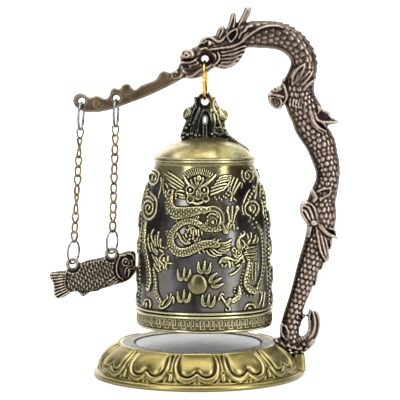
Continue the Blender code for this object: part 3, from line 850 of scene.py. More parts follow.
# ---- middle dragon: bodies first
B([(170.8, 198, 3.8), (170.6, 203.5, 4.3), (172.6, 209.4, 4.9), (178, 212.4, 5.1), (186, 212.2, 4.9), (194, 211.0, 4.2), (201, 209.9, 3.3), (208, 209.0, 2.3)],
  k=0.22, base=0.50, tex=FINE)
B([(206, 209.4, 2.2), (212, 208.6, 2.6), (218, 210.2, 2.6), (221.8, 214.6, 2.2), (222.8, 220.0, 2.0), (222.0, 225.0, 2.4), (225.2, 231.6, 2.6)], k=0.26, base=0.62)
B([(220.6, 228.2, 2.6), (213.5, 229.6, 2.8), (206.0, 228.4, 3.0), (199.6, 224.2, 2.8), (193.0, 221.6, 2.8), (186, 222.0, 3.0), (179.4, 225.2, 3.3), (174.4, 230.6, 3.6), (171.8, 237, 3.8),
   (172.0, 244, 4.1), (176.0, 250.2, 4.5), (182.6, 252.4, 4.6), (190, 250.8, 4.5), (197, 247.2, 4.3), (204, 244.4, 4.2), (211, 243.6, 4.0), (217, 244.6, 3.2)],
  k=0.22, base=0.46, tex=TIGHT)
# belly lines and their ticks
D([[(171.6, 216.6, 0.7), (176, 218.4, 0.9), (183, 218.0, 1.0), (190, 216.4, 1.0), (197, 214.4, 1.0), (204, 211.8, 1.0), (210, 209.4, 0.8)],
   [(178, 255.8, 0.8), (184, 255.6, 0.9), (190, 253.8, 0.9), (196, 250.6, 0.8)],
   [(203.4, 214.0, 0.7), (208.6, 211.6, 0.8), (214, 211.2, 0.9), (218.0, 213.6, 0.9), (220.0, 218.0, 0.9), (219.6, 223.0, 0.9), (216.4, 227.0, 0.9), (212, 228.2, 0.8), (207.8, 226.4, 0.8), (205.6, 222.6, 0.7)]], base=0.95)
for i in range(10):
    x = 177.6 + 2.35 * i
    y = 219.4 - 0.34 * i
    D([[(x, y, 0.8), (x - 0.9, y + 2.6, 0.6)]], base=0.62)
for i in range(9):
    t = i / 8.0
    x, y = 203.4 + 15.0 * t, 230.2 + 2.0 * math.sin(math.pi * t)
    D([[(x, y, 0.8), (x + 0.5, y + 2.6, 0.5)]], base=0.45)
for i in range(9):
    t = i / 8.0
    D([[(168.2 + 0.8 * math.sin(4 * t), 230.5 + 17.0 * t, 0.85), (165.9 + 0.8 * math.sin(4 * t), 232.0 + 17.0 * t, 0.45)]], base=0.40)
for i in range(6):
    D([[(166.9 + 0.3 * i, 201.6 + 2.2 * i, 0.8), (164.9 + 0.4 * i, 203.0 + 2.2 * i, 0.45)]], base=0.40)
for i in range(6):
    D([[(176 + 2.7 * i, 256.4 - 0.1 * i * i, 0.8), (177.4 + 2.7 * i, 258.4 - 0.1 * i * i, 0.45)]], base=0.40)
# shoulder curl under the mane
D([[(170.2, 190.6, 0.8), (168.8, 194, 0.9), (170.2, 198.8, 0.9)], [(173.6, 190.6, 1.0), (172.9, 194.5, 1.1), (173.2, 198.6, 1.0)],
   [(166.4, 191.6, 0.7), (166.6, 196.4, 0.8), (168.6, 200, 0.8)], [(176.0, 193.4, 0.7), (176.6, 196.6, 0.7)], [(175.4, 198.4, 0.6), (177.2, 199.4, 0.5)]], base=0.80)
# knee
lump((212.6, 221.6), 6.0, 5.6, 0.25, 0.62)
oval((212.8, 222.0), 3.4, 3.5, 0.85, base=0.88)
lump((212.6, 222.4), 1.6, 1.9, 0.4, 0.95)
D([[(207.0, 217.6, 0.7), (209.6, 214.6, 0.8), (213.6, 214.2, 0.9), (216.6, 216.2, 0.9)], [(216.6, 214.4, 0.9), (217.8, 217.6, 1.0)], [(207.2, 220.4, 0.8), (207.6, 224.0, 0.8)]], base=0.90)
# outer ticks of the right bend
for i in range(7):
    t = i / 6.0
    D([[(223.0 + 0.9 * math.sin(3 * t), 211.6 + 14 * t, 0.8), (224.9 + 0.9 * math.sin(3 * t), 213.4 + 14 * t, 0.45)]], base=0.42)
# foot lobe and knuckled claw at the right
D([[(221.0, 222.6, 1.2), (223.2, 227.4, 2.0), (226.0, 232.4, 1.9)], [(222.2, 226.4, 0.7), (224.8, 233.6, 0.8)], [(225.6, 225.6, 0.9), (227.8, 231.0, 0.9)]], base=0.72)
D([[(227.8, 207.4, 1.2), (227.0, 210.4, 1.2), (228.6, 216, 1.0), (229.4, 222, 0.9)], [(232.2, 206.6, 1.0), (231.8, 213, 1.0), (231.0, 221.4, 0.9)],
   [(236.2, 210.0, 1.3), (234.6, 215, 1.1), (233.2, 220, 1.0), (232.2, 224.4, 0.9)], [(228.2, 223.8, 1.1), (227.2, 229.4, 1.1)], [(230.6, 224.6, 0.9), (229.6, 228.6, 0.9)],
   [(233.6, 225.2, 1.0), (233.8, 229.4, 0.8)]], base=0.62)
lump((236.9, 208.2), 2.5, 2.7, 0.5, 0.62)
lump((236.9, 228.3), 1.6, 1.2, 0.45, 0.55, 0.6)
lump((227.6, 207.6), 1.5, 1.4, 0.45, 0.62)
# paw rolled up inside the loop
D([[(188.8, 226.4, 0.7), (193.0, 224.8, 0.9), (198.0, 226.2, 1.0), (201.4, 230.0, 1.0), (202.2, 234.6, 0.8)], [(187.8, 232.4, 0.8), (189.6, 228.6, 0.9), (193.2, 227.4, 0.9), (196.0, 230.0, 0.9), (196.6, 234.6, 0.8)],
   [(191.4, 229.4, 1.0), (191.6, 233.6, 1.1)], [(193.8, 230.4, 0.7), (193.6, 236.0, 0.8)], [(198.4, 229.6, 0.7), (199.0, 236.4, 0.8)],
   [(176.4, 237.4, 0.8), (177.8, 233.2, 1.2), (180.0, 236.4, 1.1), (182.6, 240.8, 1.4), (186.0, 243.4, 1.4), (190.0, 243.0, 1.1)], [(183.4, 236.4, 0.8), (186.2, 240.6, 0.9)],
   [(185.8, 233.6, 0.9), (187.2, 237.2, 0.8)], [(197.6, 238.0, 0.8), (196.2, 242.6, 1.0), (192.6, 245.0, 0.9)], [(200.2, 238.6, 0.7), (199.0, 242.8, 0.7)]], base=0.62)
dots([(193.4, 238.6, 1.4), (189.8, 239.2, 1.4), (190.4, 235.8, 1.2), (195.2, 241.0, 1.3), (186.6, 229.6, 1.1), (188.4, 241.6, 1.2)], base=0.55)
# tail fan
D([[(217.4, 243.6, 0.9), (224.6, 243.2, 1.1), (230.8, 240.0, 0.9)], [(219.4, 246.0, 0.8), (225.4, 245.6, 1.0), (230.0, 243.2, 0.7)], [(220.0, 248.4, 0.8), (226.2, 247.6, 1.0), (230.0, 245.8, 0.7)],
   [(218.6, 249.8, 0.9), (224.4, 250.8, 1.2), (229.0, 249.0, 0.9)], [(213.4, 248.6, 0.8), (218.6, 252.8, 1.0), (226.0, 252.8, 0.7)], [(210.4, 249.6, 0.8), (214.8, 254.4, 0.9), (221.4, 255.4, 0.6)],
   [(206.4, 250.2, 0.8), (210.4, 255.2, 0.9), (216.4, 256.8, 0.6)], [(218.0, 240.6, 0.8), (215.6, 243.6, 0.9), (216.4, 247.6, 0.8)], [(212.4, 241.0, 0.7), (211.6, 246.0, 0.8), (213.4, 250.0, 0.7)],
   [(209.6, 240.8, 0.7), (211.6, 238.8, 0.5)], [(213.0, 239.8, 0.7), (215.4, 238.4, 0.5)], [(217.0, 239.8, 0.7), (220.0, 239.6, 0.5)], [(202.6, 249.6, 0.8), (205.0, 252.4, 0.5)], [(198.6, 251.4, 0.8), (200.6, 253.8, 0.5)]], base=0.66)
# ---- mane
D([[(168.2, 172.2, 0.8), (174, 176.0, 1.05), (180, 180.3, 1.05), (184.8, 184.6, 0.8)], [(165.8, 174.3, 0.8), (171.5, 178.2, 1.0), (178, 182.4, 1.0), (184, 186.8, 0.8)],
   [(166.8, 177.6, 0.6), (171.5, 181.9, 0.95), (177, 185.4, 0.95), (182.6, 188.8, 0.8)], [(169.8, 183.6, 0.7), (173.5, 186.8, 0.95), (177.6, 189.2, 0.7)],
   [(176.6, 191.4, 0.7), (180.4, 190.8, 1.0), (184.4, 191.8, 0.8)], [(176.8, 193.6, 0.7), (180.6, 194.8, 1.0), (184.6, 196.0, 0.8)], [(179.6, 197.2, 0.6), (185.2, 198.2, 0.8)]], base=0.66, k=0.6)
D([[(229.4, 176.0, 0.7), (224, 176.6, 0.95), (218.5, 178.4, 0.85)], [(229.6, 178.2, 0.7), (223, 179.2, 0.95), (216.5, 181.4, 0.85)], [(228.6, 180.4, 0.7), (221, 182.2, 0.95), (214.5, 184.8, 0.85)],
   [(226.4, 184.0, 0.8), (219, 185.6, 0.95), (211.6, 188.2, 0.85)], [(224.6, 187.2, 0.8), (218, 189.2, 0.95), (211, 191.6, 0.85)], [(221.6, 190.4, 0.8), (216.4, 193.0, 1.0), (210.6, 195.0, 0.9)],
   [(230.4, 175.8, 0.8), (229.6, 181, 0.9), (226.4, 186.4, 0.9), (222.2, 191.0, 0.8)]], base=0.66, k=0.6)
dots([(214.6, 197.4), (216.2, 199.6), (219.0, 198.0), (221.2, 199.8), (223.2, 196.6), (225.4, 198.0), (226.0, 193.8), (228.2, 195.6), (227.6, 191.2)], r=1.15)
# knuckled claw beside the head
D([[(230.4, 200.6, 1.2), (231.2, 195.6, 1.1), (229.4, 190.6, 1.0), (230.4, 185.4, 1.1), (233.4, 177.8, 0.9)], [(231.4, 196.6, 1.0), (232.4, 189.8, 1.0), (236.8, 179.6, 1.1)],
   [(231.6, 197.0, 1.0), (235.2, 190.2, 1.1), (239.6, 183.0, 1.0)], [(241.4, 183.4, 0.7), (240.8, 187.6, 0.7)], [(233.0, 198.4, 0.8), (236.2, 200.8, 0.6)], [(228.4, 184.8, 0.8), (227.8, 189.4, 0.9)]], base=0.62)
# ---- face from the front
lump((198.4, 190.6), 12.6, 13.4, 0.30, 0.50)
for i in range(14):
    t = math.radians(128 - 80 * i / 13.0)
    D([[(198.8 + 15.6 * math.cos(t), 190.4 - 16.0 * math.sin(t), 0.80), (198.8 + 21.6 * math.cos(t + 0.03), 190.4 - 22.0 * math.sin(t + 0.03), 0.62)]], base=0.60)
for i in range(5):
    D([[(205.4 + 0.9 * i, 182.2 - 1.1 * i, 0.65), (208.8 + 1.2 * i, 178.2 - 1.0 * i, 0.6)]], base=0.55)
    D([[(187.0 + 0.7 * i, 178.6 - 0.7 * i, 0.6), (188.2 + 0.8 * i, 175.6 - 0.9 * i, 0.55)]], base=0.55)
D([[(184.6, 176.6, 1.3), (186.6, 181.2, 1.5), (190.2, 185.6, 1.5), (195.4, 188.8, 1.1)], [(191.2, 180.4, 0.9), (192.8, 184.6, 1.1), (196.0, 188.0, 0.9)],
   [(215.6, 175.6, 1.2), (211.0, 180.6, 1.35), (206.6, 184.4, 1.4), (202.2, 187.4, 1.3), (198.8, 189.2, 0.9)], [(195.4, 180.8, 0.8), (197.2, 187.0, 0.8)], [(203.4, 180.6, 0.8), (199.6, 186.8, 0.8)]], base=0.98, k=0.6)
lump((199.2, 178.9), 3.2, 2.9, 0.75, 0.90)
lump((195.2, 179.0), 1.5, 1.3, 0.4, 0.90)
lump((203.2, 179.2), 1.5, 1.3, 0.4, 0.90)
lump((198.2, 184.0), 1.6, 3.2, 0.45, 0.85)
for ex in (190.7, 204.2):
    bs.groove(on_bell([(ex + 2.6 * math.cos(t), 190.4 + 2.6 * math.sin(t), 0.9) for t in np.linspace(0, 2 * math.pi, 18)]) * np.array([1, 1, 1.0]), None, 0.55)
    oval((ex, 190.4), 3.9, 4.0, 0.75, base=0.92)
    lump((ex, 190.4), 1.7, 1.8, 0.55, 0.80)
lump((197.6, 194.0), 2.2, 3.4, 0.55, 0.92)
lump((200.2, 195.4), 1.6, 2.0, 0.45, 0.88)
D([[(194.6, 197.2, 0.8), (198.0, 199.2, 1.2), (202.0, 197.6, 0.8)], [(193.4, 203.0, 0.8), (197.6, 204.4, 1.2), (202.0, 202.8, 0.8)], [(186.8, 192.6, 0.7), (188.4, 196.0, 0.8)], [(208.6, 192.0, 0.7), (206.8, 195.6, 0.8)]], base=0.88)
bs.groove(on_bell([(194.4, 200.8, 0.9), (198.2, 201.9, 1.0), (201.8, 200.6, 0.9)]), None, 0.55)
oval((190.8, 199.7), 3.2, 3.5, 0.80, base=0.86)
oval((205.8, 199.2), 3.0, 2.9, 0.80, base=0.86)
# ---- clouds
D([[(152.0, 170.6, 0.8), (156.0, 170.2, 1.0), (159.4, 173.0, 1.1), (159.8, 177.4, 1.1), (158.2, 182.0, 1.1), (154.2, 185.0, 1.1), (150.9, 182.4, 1.0), (150.0, 178.4, 0.9), (151.2, 174.4, 0.9), (154.0, 173.0, 0.9),
    (156.6, 175.2, 0.9), (156.8, 179.0, 0.8), (155.2, 182.0, 0.7)], [(153.5, 176.4, 0.9), (153.2, 180.6, 1.0)],
   [(151.6, 193.0, 0.9), (155.4, 197.4, 1.2), (157.6, 202.6, 1.3), (157.8, 207.8, 1.3), (156.6, 213, 1.3), (153.4, 217.6, 1.3), (149.4, 219.4, 1.2), (145.6, 216, 1.1), (144.6, 210, 1.0), (145.6, 204.0, 1.0),
    (149.0, 201.0, 1.1), (152.6, 202.8, 1.2), (154.2, 207.0, 1.2), (153.2, 211.8, 1.2), (149.8, 214.4, 1.1), (147.2, 211.4, 1.0), (147.0, 207.4, 0.9), (149.2, 205.2, 0.9), (150.8, 207.4, 0.8), (149.6, 209.8, 0.7)],
   [(147.4, 196.4, 0.9), (151.6, 197.6, 1.0), (154.4, 200.6, 0.9)],
   [(161.8, 178.6, 0.9), (162.4, 184, 1.0), (161.8, 190, 1.2), (160.3, 194, 1.0), (159.3, 197.8, 0.7)], [(164.0, 179.6, 0.6), (164.0, 187, 0.8), (164.6, 193, 0.7)], [(166.4, 184.0, 0.6), (168.4, 187.6, 0.7)],
   [(148.8, 182.6, 0.7), (148.4, 188.6, 0.9), (147.0, 194, 0.9)], [(146.4, 185.4, 0.6), (145.6, 191.6, 0.7)], [(144.6, 196.0, 0.7), (143.2, 204.0, 0.8), (142.6, 212.0, 0.7)],
   [(241.6, 171.2, 0.7), (240.9, 175.6, 0.9), (242.1, 179.6, 0.9), (244.6, 182.2, 0.7)],
   [(249.0, 182.0, 0.8), (251.6, 179.2, 1.0), (251.8, 175.0, 1.0), (249.8, 171.8, 1.0), (246.6, 171.4, 1.0), (244.3, 174.4, 1.0), (244.8, 178.0, 0.9), (247.2, 178.9, 0.9), (248.7, 176.6, 0.8), (247.4, 174.6, 0.7)],
   [(249.4, 168.2, 0.7), (251.8, 170.8, 0.8), (252.4, 173.2, 0.6)],
   [(254.6, 215.6, 0.9), (257.3, 211.4, 1.1), (257.2, 205.8, 1.2), (253.8, 201.9, 1.2), (249.0, 201.7, 1.2), (245.3, 205.0, 1.2), (243.9, 209.6, 1.2), (245.8, 213.8, 1.1), (249.6, 216.2, 1.0)],
   [(252.4, 212.8, 0.9), (254.3, 209.2, 0.9), (253.2, 205.6, 0.8), (250.2, 204.9, 0.7)],
   [(249.4, 189.8, 0.7), (246.6, 194, 0.8), (244.4, 199, 0.9), (242.6, 203.4, 0.8)], [(256.2, 177.4, 0.7), (256.4, 184, 0.9), (254.9, 188.6, 0.9), (255.0, 194, 1.3), (253.8, 198.8, 1.1)],
   [(260.4, 200.6, 0.7), (261.8, 207, 0.9), (262.0, 213, 0.9), (263.6, 217.6, 0.7)], [(258.6, 183.0, 0.6), (259.4, 190.0, 0.7), (259.0, 196.0, 0.6)],
   [(242.0, 206.0, 0.8), (241.8, 210.4, 0.8), (243.0, 214.2, 0.9)]], base=0.60, k=0.55)
lump((249.6, 208.9), 3.0, 3.2, 0.6, 0.55)
dots([(252.6, 187.2, 1.3), (252.9, 191.2, 1.6), (250.9, 194.4, 1.6), (249.1, 197.3, 1.6), (247.6, 200.0, 1.3), (252.6, 218.8, 1.3), (255.4, 222.4, 1.2), (258.4, 226.0, 1.2), (248.6, 220.8, 1.0), (251.4, 224.2, 0.9),
      (253.6, 227.6, 0.9), (249.6, 217.8, 1.2)])
# scrolls over the lower rings
D([[(243.6, 311.6, 0.8), (245.0, 306.8, 1.0), (248.4, 304.0, 1.0), (252.4, 304.4, 1.0), (254.3, 307.8, 0.9), (252.8, 311.4, 0.8)], [(247.8, 311.2, 0.8), (248.6, 307.8, 1.0), (250.6, 309.0, 0.7)],
   [(144.8, 305.0, 0.8), (146.2, 300.2, 1.0), (149.6, 299.4, 1.0), (151.6, 303.2, 1.0), (150.8, 308.6, 0.8)], [(147.4, 303.0, 1.0), (147.4, 307.4, 1.0)]], base=0.60, k=0.55)

# ---- right dragon, looking to the pearl
B([(257.6, 226.0, 2.2), (260.6, 234, 2.8), (262.0, 244, 3.2), (262.6, 256, 3.3), (262.2, 267, 3.2), (260.6, 276.6, 2.8), (258.4, 283.4, 2.2)], k=0.22, base=0.40, tex=ribs(1.5, 0.25))
dots([(259.2, 229.6), (260.4, 233.2), (261.4, 237.0), (262.0, 240.8), (262.4, 244.6), (262.7, 248.4), (262.9, 252.2), (263.0, 256.0), (262.9, 259.8), (262.7, 263.6), (262.2, 267.4), (261.4, 271.2), (260.4, 275.0), (259.2, 278.6)], r=1.25, base=0.78, h=0.35)
B([(249.0, 261, 2.4), (248.0, 267, 2.9), (246.8, 273, 3.2), (245.8, 279, 3.6), (246.4, 285, 4.0), (249.8, 289.6, 3.8), (254.6, 290.6, 3.4), (258.0, 287.0, 2.4)], k=0.24, base=0.50, tex=BIG)
D([[(252.4, 262.0, 0.6), (251.6, 270.0, 0.8), (252.0, 279.0, 0.8)], [(255.4, 263.0, 0.6), (254.8, 272.0, 0.8), (254.6, 281.0, 0.7)], [(257.8, 262.0, 0.6), (257.4, 270.0, 0.7)]], base=0.40)
dots([(243.4, 270.4), (242.4, 273.6), (241.2, 276.8), (240.7, 280.0), (240.7, 283.4), (241.1, 286.8), (241.8, 290.2), (243.4, 293.2), (246.4, 295.2), (250.0, 296.0), (253.6, 295.8)], r=0.95, h=0.35)
B([(238.8, 286.6, 1.2), (238.6, 291.4, 1.9), (238.0, 296.0, 2.3), (234.8, 299.2, 2.6), (231.8, 301.0, 2.0)], k=0.26, base=0.60, tex=TIGHT)
dots([(234.6, 288.4, 0.9), (234.2, 291.6, 0.9), (235.0, 294.8, 0.9)])
D([[(229.6, 299.6, 1.8), (227.6, 302.6, 2.3), (226.8, 305.4, 1.3)], [(226.4, 304.2, 1.2), (223.2, 299.4, 1.1), (221.2, 296.4, 1.1)], [(219.6, 297.0, 1.0), (218.5, 300.2, 0.8)], [(223.6, 294.8, 0.9), (221.6, 293.4, 0.9), (220.0, 295.4, 0.8)],
   [(227.2, 306.0, 0.8), (229.6, 308.0, 0.9), (229.2, 310.6, 0.8), (226.4, 310.8, 0.7), (225.6, 308.6, 0.6)],
   [(259.4, 281.4, 1.1), (256.8, 284.8, 1.0), (258.2, 289.6, 1.0), (260.2, 292.8, 0.8)], [(258.4, 285.0, 0.7), (259.9, 288.0, 0.8)], [(261.4, 291.6, 0.8), (260.0, 299.0, 0.9), (258.6, 303.8, 0.8)], [(263.8, 291.6, 0.7), (262.8, 300.0, 0.8), (261.6, 307.0, 0.7)]], base=0.66)
lump((238.2, 244.4), 3.1, 5.8, 0.75, 0.62)
D([[(236.6, 240.6, 0.9), (239.4, 239.0, 1.1), (242.6, 241.4, 1.1), (245.0, 244.8, 1.0), (247.8, 247.0, 0.8)], [(238.4, 237.6, 0.9), (241.4, 236.4, 1.1), (243.6, 234.0, 1.0), (243.6, 231.6, 0.8)], [(240.4, 236.4, 0.9), (240.2, 233.6, 0.7)],
   [(254.6, 235.4, 0.8), (253.6, 239.4, 1.0), (251.8, 243.0, 0.8)], [(249.0, 239.8, 0.9), (247.0, 243.6, 1.0)], [(246.6, 233.6, 0.6), (247.2, 238.6, 0.7)], [(249.8, 232.6, 0.6), (250.2, 237.6, 0.7)], [(257.0, 237.0, 0.6), (256.2, 242.0, 0.7)],
   [(244.6, 248.8, 0.8), (250.0, 247.2, 0.85), (256.2, 246.2, 0.7)], [(245.0, 250.8, 0.7), (250.6, 249.5, 0.8), (256.4, 248.6, 0.6)], [(243.6, 252.8, 0.8), (249.0, 251.6, 0.9), (254.6, 250.8, 0.7)],
   [(243.8, 254.8, 0.8), (249.0, 254.0, 0.9), (255.6, 253.2, 0.9)], [(245.6, 256.8, 0.7), (251.0, 257.2, 0.9), (255.6, 255.4, 0.8)], [(246.4, 259.2, 0.7), (251.4, 259.6, 0.7), (255.0, 258.0, 0.6)],
   [(241.8, 247.0, 0.9), (241.0, 249.8, 0.9)], [(243.2, 244.8, 0.8), (243.4, 247.4, 0.8)]], base=0.72, k=0.6)
oval((237.7, 252.9), 2.6, 3.0, 0.8, base=0.86)
lump((237.7, 252.5), 1.3, 1.6, 0.5, 0.85)
oval((233.6, 249.8), 1.6, 1.8, 0.7, base=0.66)
D([[(233.0, 254.0, 0.8), (235.0, 257.0, 1.0), (238.6, 258.2, 0.9)], [(219.4, 262.4, 1.3), (221.4, 259.8, 1.7), (225.4, 258.4, 1.9), (229.6, 258.4, 1.5), (233.8, 260.2, 1.1), (236.4, 259.6, 0.8)],
   [(226.6, 260.4, 0.9), (229.0, 262.8, 1.3), (229.2, 267.2, 0.9)], [(221.6, 264.4, 0.9), (222.6, 266.6, 0.8)], [(226.4, 264.0, 0.8), (224.8, 266.8, 0.9)], [(231.6, 262.4, 0.9), (232.2, 265.8, 0.8)],
   [(235.0, 263.0, 0.9), (238.6, 259.6, 1.1), (242.2, 255.6, 1.0)], [(241.8, 257.8, 0.8), (243.5, 260.4, 0.9), (241.4, 262.8, 0.8)], [(236.2, 266.4, 0.7), (238.8, 264.4, 0.8)],
   [(240.6, 264.8, 0.7), (237.6, 269.2, 0.85), (233.6, 273.2, 0.85), (229.8, 275.0, 0.8)]], base=0.78, k=0.6)
lump((223.8, 260.6), 3.6, 2.2, 0.45, 0.66, -0.2)
# ---- left dragon
B([(147.6, 222.0, 1.6), (146.4, 230, 2.2), (145.8, 240, 2.8), (146.8, 250, 3.2), (148.8, 260, 3.4), (150.4, 270, 3.6), (150.8, 280, 3.6), (149.4, 288, 3.0)], k=0.24, base=0.46, tex=BIG)
B([(154.4, 268, 1.4), (156.0, 276, 2.0), (156.6, 284, 2.3), (156.8, 291, 2.6), (158.6, 297, 2.7), (161.6, 302, 2.4)], k=0.26, base=0.50, tex=beads(1.25, 1.35, 0.42))
D([[(154.8, 229.2, 0.7), (152.8, 234, 0.9), (153.6, 240, 0.9), (156.4, 246, 0.8)], [(156.4, 235.6, 0.7), (156.7, 242, 0.9), (157.4, 246.0, 0.7)], [(159.8, 232, 0.8), (158.8, 239, 0.9), (159.6, 246, 0.8)], [(161.5, 239.2, 0.9), (161.9, 246.8, 1.0)],
   [(149.6, 234, 0.7), (149.6, 243, 0.8), (151.6, 251, 0.8)], [(152.4, 243, 0.7), (154.2, 250, 0.8), (158.0, 254.6, 0.8)], [(155.4, 248.4, 0.7), (158.6, 252.2, 0.8)], [(142.8, 229, 0.7), (141.4, 236, 0.8), (140.9, 246, 0.7)],
   [(160.6, 249.6, 0.8), (163.8, 251.8, 0.9)], [(164.6, 253.8, 0.8), (161.6, 257, 1.0), (161.0, 260.4, 1.0), (163.4, 264.2, 1.1)], [(168.9, 256.6, 1.3), (168.7, 260.6, 1.2)], [(164.7, 264.6, 1.2), (164.9, 268.6, 0.9)],
   [(167.5, 263.2, 0.9), (166.9, 266.2, 0.9), (167.6, 269.2, 0.8)], [(168.2, 263.0, 0.8), (172.6, 263.7, 0.8)], [(160.0, 264.6, 0.8), (161.6, 270.2, 0.7)], [(156.6, 257.0, 0.7), (159.4, 261.0, 0.9), (161.6, 266.4, 0.8)],
   [(153.4, 255.2, 0.7), (156.2, 260.2, 0.8), (158.8, 265.4, 0.7)], [(155.0, 263.4, 0.7), (156.8, 267.4, 0.85), (159.8, 271.6, 0.8)],
   [(159.8, 305.2, 0.9), (161.6, 307.8, 1.2), (165.2, 307.4, 1.4), (169.4, 304.2, 1.3), (172.0, 300.2, 1.1), (173.4, 297.0, 1.0), (174.4, 299.6, 0.9), (174.0, 303.4, 0.7)],
   [(166.4, 306.0, 1.1), (169.4, 301.2, 1.0), (171.2, 297.4, 0.9), (171.6, 294.0, 0.8)], [(163.4, 304.8, 1.1), (165.4, 300.6, 1.0), (168.2, 298.2, 0.9), (168.2, 294.8, 0.8)], [(162.4, 301.2, 1.0), (161.2, 305.2, 1.0)]], base=0.72, k=0.6)
lump((164.9, 259.6), 1.8, 2.4, 0.5, 0.72)
dots([(164.1, 247.6, 1.1), (166.6, 262.0, 1.1)])
# ---- unseen flanks: cloud scrolls and studs between the two pictures
for side in (-1, 1):
    for n_, (u0, z0, rr) in enumerate(((38.6, 74.0, 2.6), (40.4, 63.0, 3.4), (38.0, 52.0, 3.2), (40.6, 41.0, 3.4), (38.4, 31.0, 2.8))):
        tq = np.linspace(0, 1, 40)
        ra = rr * (1 - 0.9 * tq)
        aa = 1.0 + n_ + side * 2 * math.pi * 1.7 * tq
        bs.stroke(np.column_stack([side * u0 + ra * np.cos(aa), z0 + ra * np.sin(aa), 0.46 * (1 - 0.2 * tq)]), k=0.6, base=0.55, curve=False)
        bs.stroke([(side * (u0 - rr), z0 - 2, 0.35), (side * (u0 - rr - 1.2), z0 - 5, 0.42), (side * (u0 - rr + 0.6), z0 - 8, 0.3)], k=0.6, base=0.5)
    for zz in np.arange(26.5, 77.0, 1.7):
        bs.blob((side * 33.6 + 0.8 * math.sin(zz * 0.35), zz), 0.52, 0.52, 0.4, base=0.45)


# pearl and flames
pc = on_bell(np.array([(197.8, 284.5)]))[0]
bs.T[bs.window(pc - 4.4, pc + 4.4, 0)] = np.where(
    (bs.X[bs.window(pc - 4.4, pc + 4.4, 0)] - pc[0]) ** 2 + (bs.Z[bs.window(pc - 4.4, pc + 4.4, 0)] - pc[1]) ** 2 < 4.4 ** 2,
    -1.0, bs.T[bs.window(pc - 4.4, pc + 4.4, 0)])
bs.blob(pc, 3.95, 4.15, 1.55, base=0.25)
for x, y, rot in ((184.2, 275.0, 0.0), (204.2, 267.8, 0.06), (215.4, 281.2, 1.0), (184.0, 296.8, 0.0), (208.2, 301.0, 0.1)):
    flame(x, y, 6.2, rot)

# one half turn of relief, repeated on the far side
inner = (bs.x >= -HALF - 1e-9) & (bs.x <= HALF + 1e-9)
Tm = np.maximum(bs.T, 0.0)
k5 = int(round(5.0 / bs.res))
core = Tm[k5:-k5].copy()
core[:k5] = np.maximum(core[:k5], Tm[-k5:])
core[-k5:] = np.maximum(core[-k5:], Tm[:k5])
ZK = on_bell(np.array([(203.0, 314.5), (203.0, 318.6), (203.0, 321.0), (203.0, 329.0), (203.0, 333.5)]))[:, 1]
print("band heights", ZK, "core", core.shape)
core = core * smoothstep(ZK[0] + 0.6, ZK[0] + 1.6, bs.Z[k5:-k5])

NU, RES = 720, 0.24
zs_wall = np.arange(20.9, 85.4, RES)
wall = [(float(np.interp(z, BELL_OUT[:, 1], BELL_OUT[:, 0])), float(z)) for z in zs_wall]
up = spline([(20.35, 85.6), (20.42, 86.6), (20.45, 86.95), (20.85, 87.15), (21.0, 87.5), (20.85, 87.85), (20.5, 88.0), (20.55, 88.2), (20.75, 88.45), (20.55, 88.8), (20.1, 89.0),
             (19.5, 89.5), (17.7, 91.2), (15.4, 92.8), (12.6, 94.2), (9.0, 95.4), (5.0, 96.2), (1.2, 96.45)], 0.24)
lip = [(25.3, 20.5), (26.3, 20.3), (27.2, 20.35), (27.6, 20.6)]
inside = [(1.2, 93.8), (7.6, 93.0), (12.2, 91.2), (16.2, 87.8), (18.2, 83.6), (20.0, 78.6), (22.2, 71.2), (23.6, 63.4),
          (24.2, 54.4), (24.55, 45.0), (24.85, 30.0), (24.95, 22.0), (25.0, 21.0)]
prof = np.array(lip + wall + [tuple(p) for p in up])
# smooth the straight segments of the wall
prof[4:-4] = (prof[3:-5] + 2 * prof[4:-4] + prof[5:-3]) / 4
tang = np.gradient(prof, axis=0)
tang /= np.linalg.norm(tang, axis=1)[:, None]
nrm = np.column_stack([tang[:, 1], -tang[:, 0]])
th = np.linspace(0, 2 * math.pi, NU, endpoint=False)
uu = (np.mod(th * BELL_R0 + HALF, 2 * HALF) - HALF)
ui = np.clip((uu + HALF) / bs.res, 0, core.shape[0] - 1.001)
vi = np.clip((prof[:, 1] - bs.z0) / bs.res, 0, core.shape[1] - 1.001)
i0, j0 = ui.astype(int), vi.astype(int)
fu, fv = ui - i0, vi - j0
i1 = np.minimum(i0 + 1, core.shape[0] - 1)
H = ((core[i0][:, j0] * (1 - fv) + core[i0][:, j0 + 1] * fv) * (1 - fu)[:, None]
     + (core[i1][:, j0] * (1 - fv) + core[i1][:, j0 + 1] * fv) * fu[:, None])
H[:, prof[:, 1] > 84.9] = 0
# rings and key band near the lip
zr = prof[:, 1][None, :]
isw = (np.arange(len(prof)) >= 4)[None, :] & (zr < 60)
for zc, w_, h_ in ((ZK[0], 0.62, 0.75), (ZK[1] + 0.1, 0.62, 0.75)):
    H = np.maximum(H, np.where(isw, h_ * np.sqrt(np.clip(1 - ((zr - zc) / w_) ** 2, 0, 1)), 0))
zb0, zb1 = ZK[3] - 0.2, ZK[2] + 0.1
unit = 2 * math.pi * BELL_R0 / 46.0
ph = np.mod(th * BELL_R0 / unit, 1.0)[:, None] * unit
hh = (zr - zb0) / (zb1 - zb0)
lw = 0.23
segs = [((0.0, 0.0), (0.0, 1.0)), ((0.0, 1.0), (0.42, 1.0)), ((0.42, 1.0), (0.42, 0.33)), ((0.42, 0.33), (0.2, 0.33)), ((0.2, 0.33), (0.2, 0.66)),
        ((0.58, 1.0), (0.58, 0.0)), ((0.58, 0.0), (1.0, 0.0)), ((0.58, 1.0), (0.86, 1.0)), ((0.86, 1.0), (0.86, 0.36)), ((0.86, 0.36), (0.72, 0.36))]
key = np.zeros_like(H)
bh = (zb1 - zb0)
